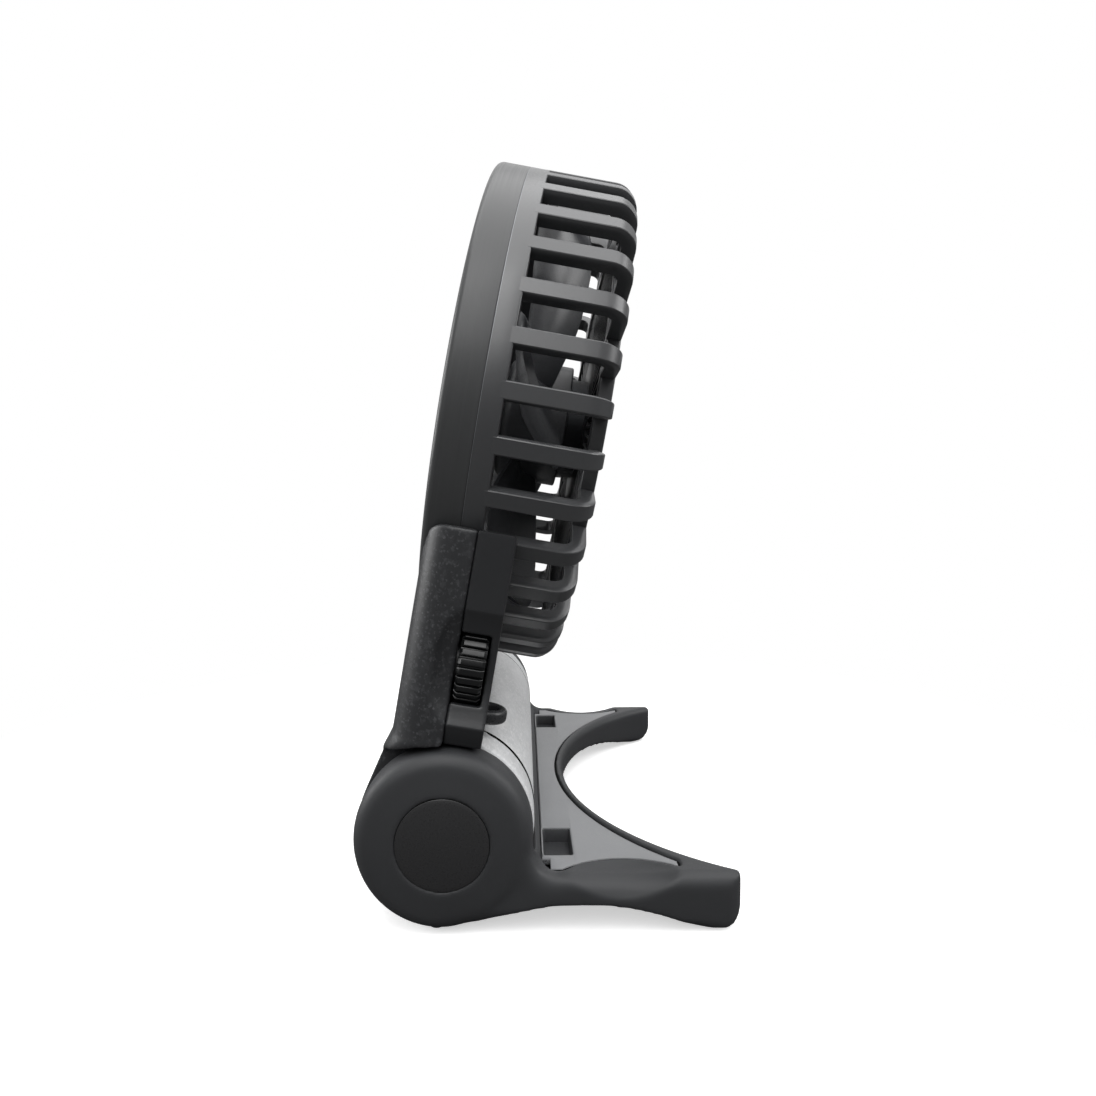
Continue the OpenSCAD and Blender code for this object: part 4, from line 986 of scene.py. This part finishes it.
class FAN_OT_impeller(bpy.types.Operator):
    """Make the impeller: cambered blades on a rounded hub"""
    bl_idname = "fan.impeller"
    bl_label = "Impeller"

    def execute(self, context):
        look = context.scene.fan_impeller
        # Semi-gloss ABS: smooth blades with soft, clear reflections
        gloss = moulded("Semi-gloss moulded ABS, blades", look.blade_colour, 0.3, 0.15, 0.0006,
                        0.04)
        thick = look.blade_t / MM
        chord, spread, rise, sag, middle = 14.0, math.radians(22.0), 6.5, 2.4, -3.5
        tip_round, tip_sweep = 6.0, 0.10

        def section(r):
            w = min(chord, r * spread) - 0.6 * math.exp(-abs(chord - r * spread) / 1.5)
            past = max(0.0, r - (BLADE_R - tip_round))
            w -= tip_round - math.sqrt(max(tip_round ** 2 - past ** 2, 0.0))
            us = np.cos(np.linspace(0, math.pi, 13))
            half = thick * (0.12 + 0.4 * (1 - us ** 4))
            mean = middle + rise * us * w / chord + sag * (1 - us ** 2)
            sweep = tip_sweep * ((r - HUB_R) / (BLADE_R - HUB_R)) ** 2
            angle = us * w / r + sweep
            top = np.stack([r * np.cos(angle), r * np.sin(angle), mean + half], 1)
            low = np.stack([r * np.cos(angle), r * np.sin(angle), mean - half], 1)[::-1]
            return np.concatenate([top, low[1:-1]])

        radii = np.concatenate([np.linspace(HUB_R - 0.8, BLADE_R - tip_round, 12),
                                BLADE_R - tip_round * (1 - np.sin(np.linspace(0.2, 1.5, 7)))])
        blades = around("blades", loft([section(r) for r in radii]), look.blade_count, 0.0, gloss)
        back = HUB_FRONT - HUB_DEPTH
        hub = rounded([(0, HUB_FRONT - 1.6, 0), (HUB_R - 1.5, HUB_FRONT - 1.6, 0.5),
                       (HUB_R - 1.5, back, 0.3), (HUB_R, back, 0.4), (HUB_R, HUB_FRONT, 2.2),
                       (0, HUB_FRONT, 0)], 6)
        put("impeller", joined("impeller", [blades, mesh_of("hub", [turned(hub, 96)])], RING),
            gloss, "fan", "blade", "fan_impeller")
        return {"FINISHED"}


class FAN_OT_dial(bpy.types.Operator):
    """Make the thumb dial: rounded ridges with chamfered ends on a core"""
    bl_idname = "fan.dial"
    bl_label = "Thumb Dial"

    def execute(self, context):
        look = context.scene.fan_dial
        # Gloss ABS, polished by the thumb: near black, with hard highlights on each ridge
        gloss = moulded("Gloss moulded ABS, dial", look.dial_colour, 0.22, 0.6, 0.003, 0.05)
        height, core = look.ridge_h / MM, DIAL_R - look.ridge_h / MM
        half = TAU * DIAL_R / look.ridge_count * 0.33

        def section(z, cut):
            top = DIAL_R - cut
            outline = rounded([(-half * 1.25, core - 0.3, 0), (half * 1.25, core - 0.3, 0),
                               (half, top, 0.2), (-half, top, 0.2)], 3)
            return np.array([(r, t, z) for t, r in outline])

        chamfer, cut, bore = 0.55, height * 0.7, 1.2
        ridge = loft([section(0.0, cut), section(chamfer, 0.0), section(DIAL_W - chamfer, 0.0),
                      section(DIAL_W, cut)])
        ridges = around("ridges", ridge, look.ridge_count, 0.0, gloss)
        wheel = mesh_of("wheel", [turned(rectangle(bore, core, 0, DIAL_W, 0.1, 0.2, 0.2, 0.1), 96)])
        place = HEAD @ Matrix.Translation(Vector((DIAL_X, DIAL_BACK, DIAL_UP)) * MM) \
            @ Matrix.Rotation(math.pi / 2, 4, "X")
        put("thumb_dial", joined("thumb_dial", [ridges, wheel], place), gloss,
            "dial", "dial", "speed_dial")
        return {"FINISHED"}


class FAN_OT_screws(bpy.types.Operator):
    """Make the cross-head screws of the body, the motor and the stand"""
    bl_idname = "fan.screws"
    bl_label = "Screws"

    def execute(self, context):
        # Nickel-plated steel: bright, slightly warm, with a drawn grain
        nickel = metal("Nickel-plated steel, screws", linear("8d8f92"), 0.32)
        arm, width = 1.05, 0.26
        cross = [(arm, -width), (arm, width), (width, width), (width, arm), (-width, arm),
                 (-width, width), (-arm, width), (-arm, -width), (-width, -width), (-width, -arm),
                 (width, -arm), (width, -width)]
        face = plate_mesh("face", [circle(SCREW_HEAD_R - 0.02, 32), cross], -0.55, 0, 0.08)
        head_end, shank_end = SCREW_HEAD_R - 0.1, -4
        shank = mesh_of("shank", [
            turned(rectangle(0, head_end, -SCREW_HEAD_T, -0.5, 0), 32),
            turned(rectangle(0, SCREW_R - 0.02, shank_end, -0.9, 0), 16)])
        screw = joined("screw", [face, shank])
        to_rear = -math.pi / 2
        body = [(s * x, BODY_REAR - 0.2, z) for s in (-1, 1) for x, z in ((48, 21), (52.2, 49))]
        motor = [(s * MOTOR_SCREW_X, -CAGE_REAR, RING_UP) for s in (-1, 1)]
        under = []
        for x, y in ((28, 23.6), (42.07, 33)):
            drop = ARCH_H - ARCH_R + math.sqrt(ARCH_R ** 2 - (abs(y - ARCH_Y) + SCREW_HEAD_R) ** 2)
            under += [(x, y, drop - SCREW_HEAD_T), (-x, y, drop - SCREW_HEAD_T)]
        for name, places, turn, place, body_name, node in (
                ("case_screws", body, to_rear, HEAD, "head", "body_screws"),
                ("guard_screws", motor, to_rear, HEAD, "head", "motor_screws"),
                ("base_screws", under, math.pi, STAND, "stand", "stand_screws")):
            mesh = at_places(name, screw, places, turn, nickel)
            mesh.transform(place)
            put(name, mesh, nickel, body_name, "steel", node)
        return {"FINISHED"}


class FAN_OT_fittings(bpy.types.Operator):
    """Give the frame's own nodes their finishes: caps, feet, motor, boards and battery"""
    bl_idname = "fan.fittings"
    bl_label = "Fittings"

    def execute(self, context):
        look = context.scene.fan_stand
        # Moulded rubber: dull black with a coarse skin
        rubber = moulded("Moulded rubber, feet", look.foot_colour, 0.75, 0.25, 0.03, 0.1, 0.3)
        # Turned and ground steel: grey, brighter where it is ground
        steel = metal("Turned steel", linear("a4a6a8"), 0.28)
        bright = metal("Polished bearing steel", linear("c3c5c8"), 0.16)
        # Zinc plate on folded steel: paler and cooler than the steel
        zinc = metal("Zinc-plated steel, socket", linear("b4b6b9"), 0.3)
        # Blackened drawn steel: dark, with a dull metal sheen
        blackened = metal("Blackened drawn steel, motor can", linear("38393b"), 0.42)
        # Sprung bronze strip, rolled thin: warm and bright
        bronze = metal("Nickelled bronze strip", linear("c9b27a"), 0.26)
        # Wire under clear enamel: deep orange, with glints along each turn
        copper = metal("Enamelled copper winding", linear("a8622d"), 0.3, 0.5)
        # Nylons: the natural one waxy and cream, the glass-filled one black and dry
        nylon = moulded("Moulded nylon, natural", linear("c9c4b4"), 0.5, 0.3, 0.01, 0.05)
        black = moulded("Glass-filled nylon, black", linear("1f2022"), 0.5, 0.3, 0.015, 0.1)
        # Sintered ferrite: brown-grey and chalky
        ferrite = moulded("Sintered ferrite", linear("4a4744"), 0.6, 0.2, 0.02, 0.15)
        # Pressed phenolic: hard, near black, with a low shine
        phenolic = moulded("Phenolic switch case", linear("191a1b"), 0.4, 0.4, 0.01, 0.08)
        # Heat-shrunk film on the cell: glossy, with long ripples
        sleeve = moulded("Shrunk sleeve, blue", linear("2e6fb0"), 0.22, 3.0, 0.03, 0.06)
        # ABS without dye: milky white
        pale = moulded("Moulded ABS, natural", linear("d8d9da"), 0.5, 0.4, 0.01, 0.04)
        # Lacquered glass laminate: green, glossy, with lighter tracks
        board = circuit_board("Lacquered laminate", linear("1f5a38"), linear("3f8a58"))
        finishes = {
            "stand_feet": rubber,
            "hinge_pins": steel, "hinge_clips": steel, "friction_washers": nylon,
            "motor_can": blackened, "motor_end_cap": black, "motor_bearings": bright,
            "motor_magnets": ferrite, "motor_rotor": copper, "motor_shaft": bright,
            "dial_axle": black, "dial_switch": phenolic, "control_board": board,
            "charge_board": board, "charge_socket": zinc, "battery_cell": sleeve,
            "battery_cradle": pale, "battery_contacts": bronze}
        for node, finish in finishes.items():
            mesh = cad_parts[node].data
            mesh.materials.clear()
            mesh.materials.append(finish)
        return {"FINISHED"}


class FAN_OT_camera(bpy.types.Operator):
    """Set the camera beside the fan, as low and near as the photograph's"""
    bl_idname = "fan.camera"
    bl_label = "Camera"

    def execute(self, context):
        data = bpy.data.cameras.new("camera")
        # The photograph's frame, focal length and centre in pixels, and the lens's place and turn
        data.sensor_width, side = 36.0, 1096
        focal, centre_u, centre_v = 767.34, 537.97, 523.57
        lens_at, turns = (0.19599, -0.00449, 0.08408), (-1.14, -2.83, -0.11)
        data.lens = focal / side * data.sensor_width
        data.shift_x, data.shift_y = (side / 2 - centre_u) / side, (centre_v - side / 2) / side
        data.clip_start, data.clip_end = 0.01, 20
        yaw, pitch, roll = (math.radians(a) for a in turns)
        ahead = Vector((-math.cos(yaw) * math.cos(pitch), -math.sin(yaw) * math.cos(pitch),
                        math.sin(pitch)))
        right = ahead.cross(Vector((0, 0, 1))).normalized()
        up = right.cross(ahead)
        right, up = (math.cos(roll) * right + math.sin(roll) * up,
                     math.cos(roll) * up - math.sin(roll) * right)
        camera = bpy.data.objects.new("camera", data)
        camera.matrix_world = Matrix.Translation(lens_at) @ Matrix(
            (right, up, -ahead)).transposed().to_4x4()
        context.scene.collection.objects.link(camera)
        context.scene.camera = camera
        return {"FINISHED"}


def seeing_rays(tree):
    """A tree's rays, and a mask of those that look at a thing straight or through glass."""
    ray = add(tree, "ShaderNodeLightPath")
    seen = add(tree, "ShaderNodeMath", {"operation": "MAXIMUM"},
               {0: ray.outputs["Is Camera Ray"], 1: ray.outputs["Is Transmission Ray"]})
    return ray, seen.outputs[0]


class FAN_OT_studio(bpy.types.Operator):
    """Set the pale floor, the white surround and the soft lamps"""
    bl_idname = "fan.studio"
    bl_label = "Studio"

    def execute(self, context):
        look = context.scene.fan_stage
        reach, under = 4000, -0.05
        corners = [(x, y, under) for x, y in rectangle(-reach, reach, -reach, reach, 0)]
        floor_mesh = mesh_of("floor", [(corners, [(0, 1, 2, 3)])])
        # Matt white paper: keeps the fan's shadow near it and runs out to plain white
        paper, tree, shader = new_finish("Matt paper floor")
        where = millimetres(tree)
        fibre = add(tree, "ShaderNodeTexNoise", None,
                    {"Vector": where, "Scale": 1 / 0.6, "Detail": 3.0}).outputs["Fac"]
        tone = toned(tree, fibre, 0, 1, times(look.floor_colour, 0.98), look.floor_colour)
        shader.inputs["Roughness"].default_value = 0.9
        shader.inputs["Specular IOR Level"].default_value = 0.1
        seen = seeing_rays(tree)[1]
        tree.links.new(toned(tree, seen, 0, 1, look.floor_return, tone),
                       shader.inputs["Base Color"])
        away = add(tree, "ShaderNodeVectorMath", {"operation": "LENGTH"},
                   {0: where}).outputs["Value"]
        plain = add(tree, "ShaderNodeMapRange", None,
                    {"Value": away, "From Min": 90, "From Max": 190}).outputs[0]
        plain = add(tree, "ShaderNodeMath", {"operation": "MULTIPLY"},
                    {0: plain, 1: seen}).outputs[0]
        glow = add(tree, "ShaderNodeEmission", None, {"Color": (1, 1, 1, 1), "Strength": 1.0})
        mixed = add(tree, "ShaderNodeMixShader", None,
                    {0: plain, 1: shader.outputs[0], 2: glow.outputs[0]})
        end = next(node for node in tree.nodes if node.type == "OUTPUT_MATERIAL")
        tree.links.new(mixed.outputs[0], end.inputs["Surface"])
        lift = add(tree, "ShaderNodeMath", {"operation": "MULTIPLY"}, {0: seen, 1: 0.55})
        shader.inputs["Emission Color"].default_value = (1, 1, 1, 1)
        tree.links.new(lift.outputs[0], shader.inputs["Emission Strength"])
        add_piece("floor", floor_mesh, paper)

        world = bpy.data.worlds.new("Studio")
        world.use_nodes = True
        sky = world.node_tree
        sky.nodes.clear()
        ray, seen = seeing_rays(sky)
        way = add(sky, "ShaderNodeTexCoord").outputs["Generated"]
        height = add(sky, "ShaderNodeSeparateXYZ", None, {0: way}).outputs["Z"]
        dome = add(sky, "ShaderNodeMapRange", None, {
            "Value": height, "From Min": 0.0, "From Max": 0.85,
            "To Min": look.sky_low, "To Max": look.sky_high}).outputs[0]
        gloss = add(sky, "ShaderNodeMath", {"operation": "MULTIPLY_ADD"},
                    {0: ray.outputs["Is Glossy Ray"], 1: look.mirrored, 2: dome})
        level = add(sky, "ShaderNodeMix", None,
                    {0: seen, 2: gloss.outputs[0], 3: 1.0})
        back = add(sky, "ShaderNodeBackground", None,
                   {"Color": (1, 1, 1, 1), "Strength": level.outputs[0]})
        add(sky, "ShaderNodeOutputWorld", None, {"Surface": back.outputs[0]})
        context.scene.world = world

        for name, power, size, place, aim in (
                ("top_box", look.top, 0.6, (0.05, 0.02, 0.56), (0, 0, 0.08)),
                ("front_box", look.front, 0.5, (-0.12, -0.8, 0.3), (0, 0, 0.08)),
                ("rear_box", look.rear, 0.5, (0.1, 0.75, 0.5), (0, 0, 0.05)),
                ("side_box", look.side, 0.5, (0.6, -0.1, 0.62), (0, 0, 0.06)),
                ("back_box", look.back, 0.9, (-0.9, 0, 0.5), (0, 0, 0.1))):
            lamp = bpy.data.lights.new(name, "AREA")
            lamp.shape, lamp.size, lamp.energy = "SQUARE", size, power
            box = bpy.data.objects.new(name, lamp)
            box.location = place
            box.rotation_euler = (Vector(aim) - Vector(place)).to_track_quat("-Z", "Y").to_euler()
            box.visible_camera = False
            context.scene.collection.objects.link(box)
        context.scene.view_settings.view_transform = "Standard"
        return {"FINISHED"}


class FAN_PT_looks(bpy.types.Panel):
    """Lists the fan's pieces and their sizes"""
    bl_idname = "FAN_PT_looks"
    bl_label = "Folding Fan"
    bl_space_type = "VIEW_3D"
    bl_region_type = "UI"
    bl_category = "Fan"

    def draw(self, context):
        for name in LOOKS:
            box = self.layout.box()
            look = getattr(context.scene, name)
            for key in look.__annotations__:
                box.prop(look, key)
        for operator in OPERATORS:
            self.layout.operator(operator.bl_idname)


LOOKS = {"fan_stand": FanStandLook, "fan_body": FanBodyLook, "fan_ring": FanRingLook,
         "fan_impeller": FanImpellerLook, "fan_dial": FanDialLook, "fan_stage": FanStageLook}
OPERATORS = (
    FAN_OT_camera, FAN_OT_studio, FAN_OT_stand_frame, FAN_OT_cover_plate, FAN_OT_pivot_caps,
    FAN_OT_body_shells, FAN_OT_drum_cover, FAN_OT_strap_eye, FAN_OT_bezel, FAN_OT_cage,
    FAN_OT_front_grille, FAN_OT_rear_grille, FAN_OT_impeller, FAN_OT_dial, FAN_OT_screws,
    FAN_OT_fittings)
CLASSES = (*LOOKS.values(), *OPERATORS, FAN_PT_looks)


def register():
    for item in CLASSES:
        bpy.utils.register_class(item)
    for name, look in LOOKS.items():
        setattr(bpy.types.Scene, name, PointerProperty(type=look))


def unregister():
    for name in LOOKS:
        delattr(bpy.types.Scene, name)
    for item in reversed(CLASSES):
        bpy.utils.unregister_class(item)


def main():
    register()
    for operator in OPERATORS:
        group, name = operator.bl_idname.split(".")
        getattr(getattr(bpy.ops, group), name)()


if __name__ == "__main__":
    main()
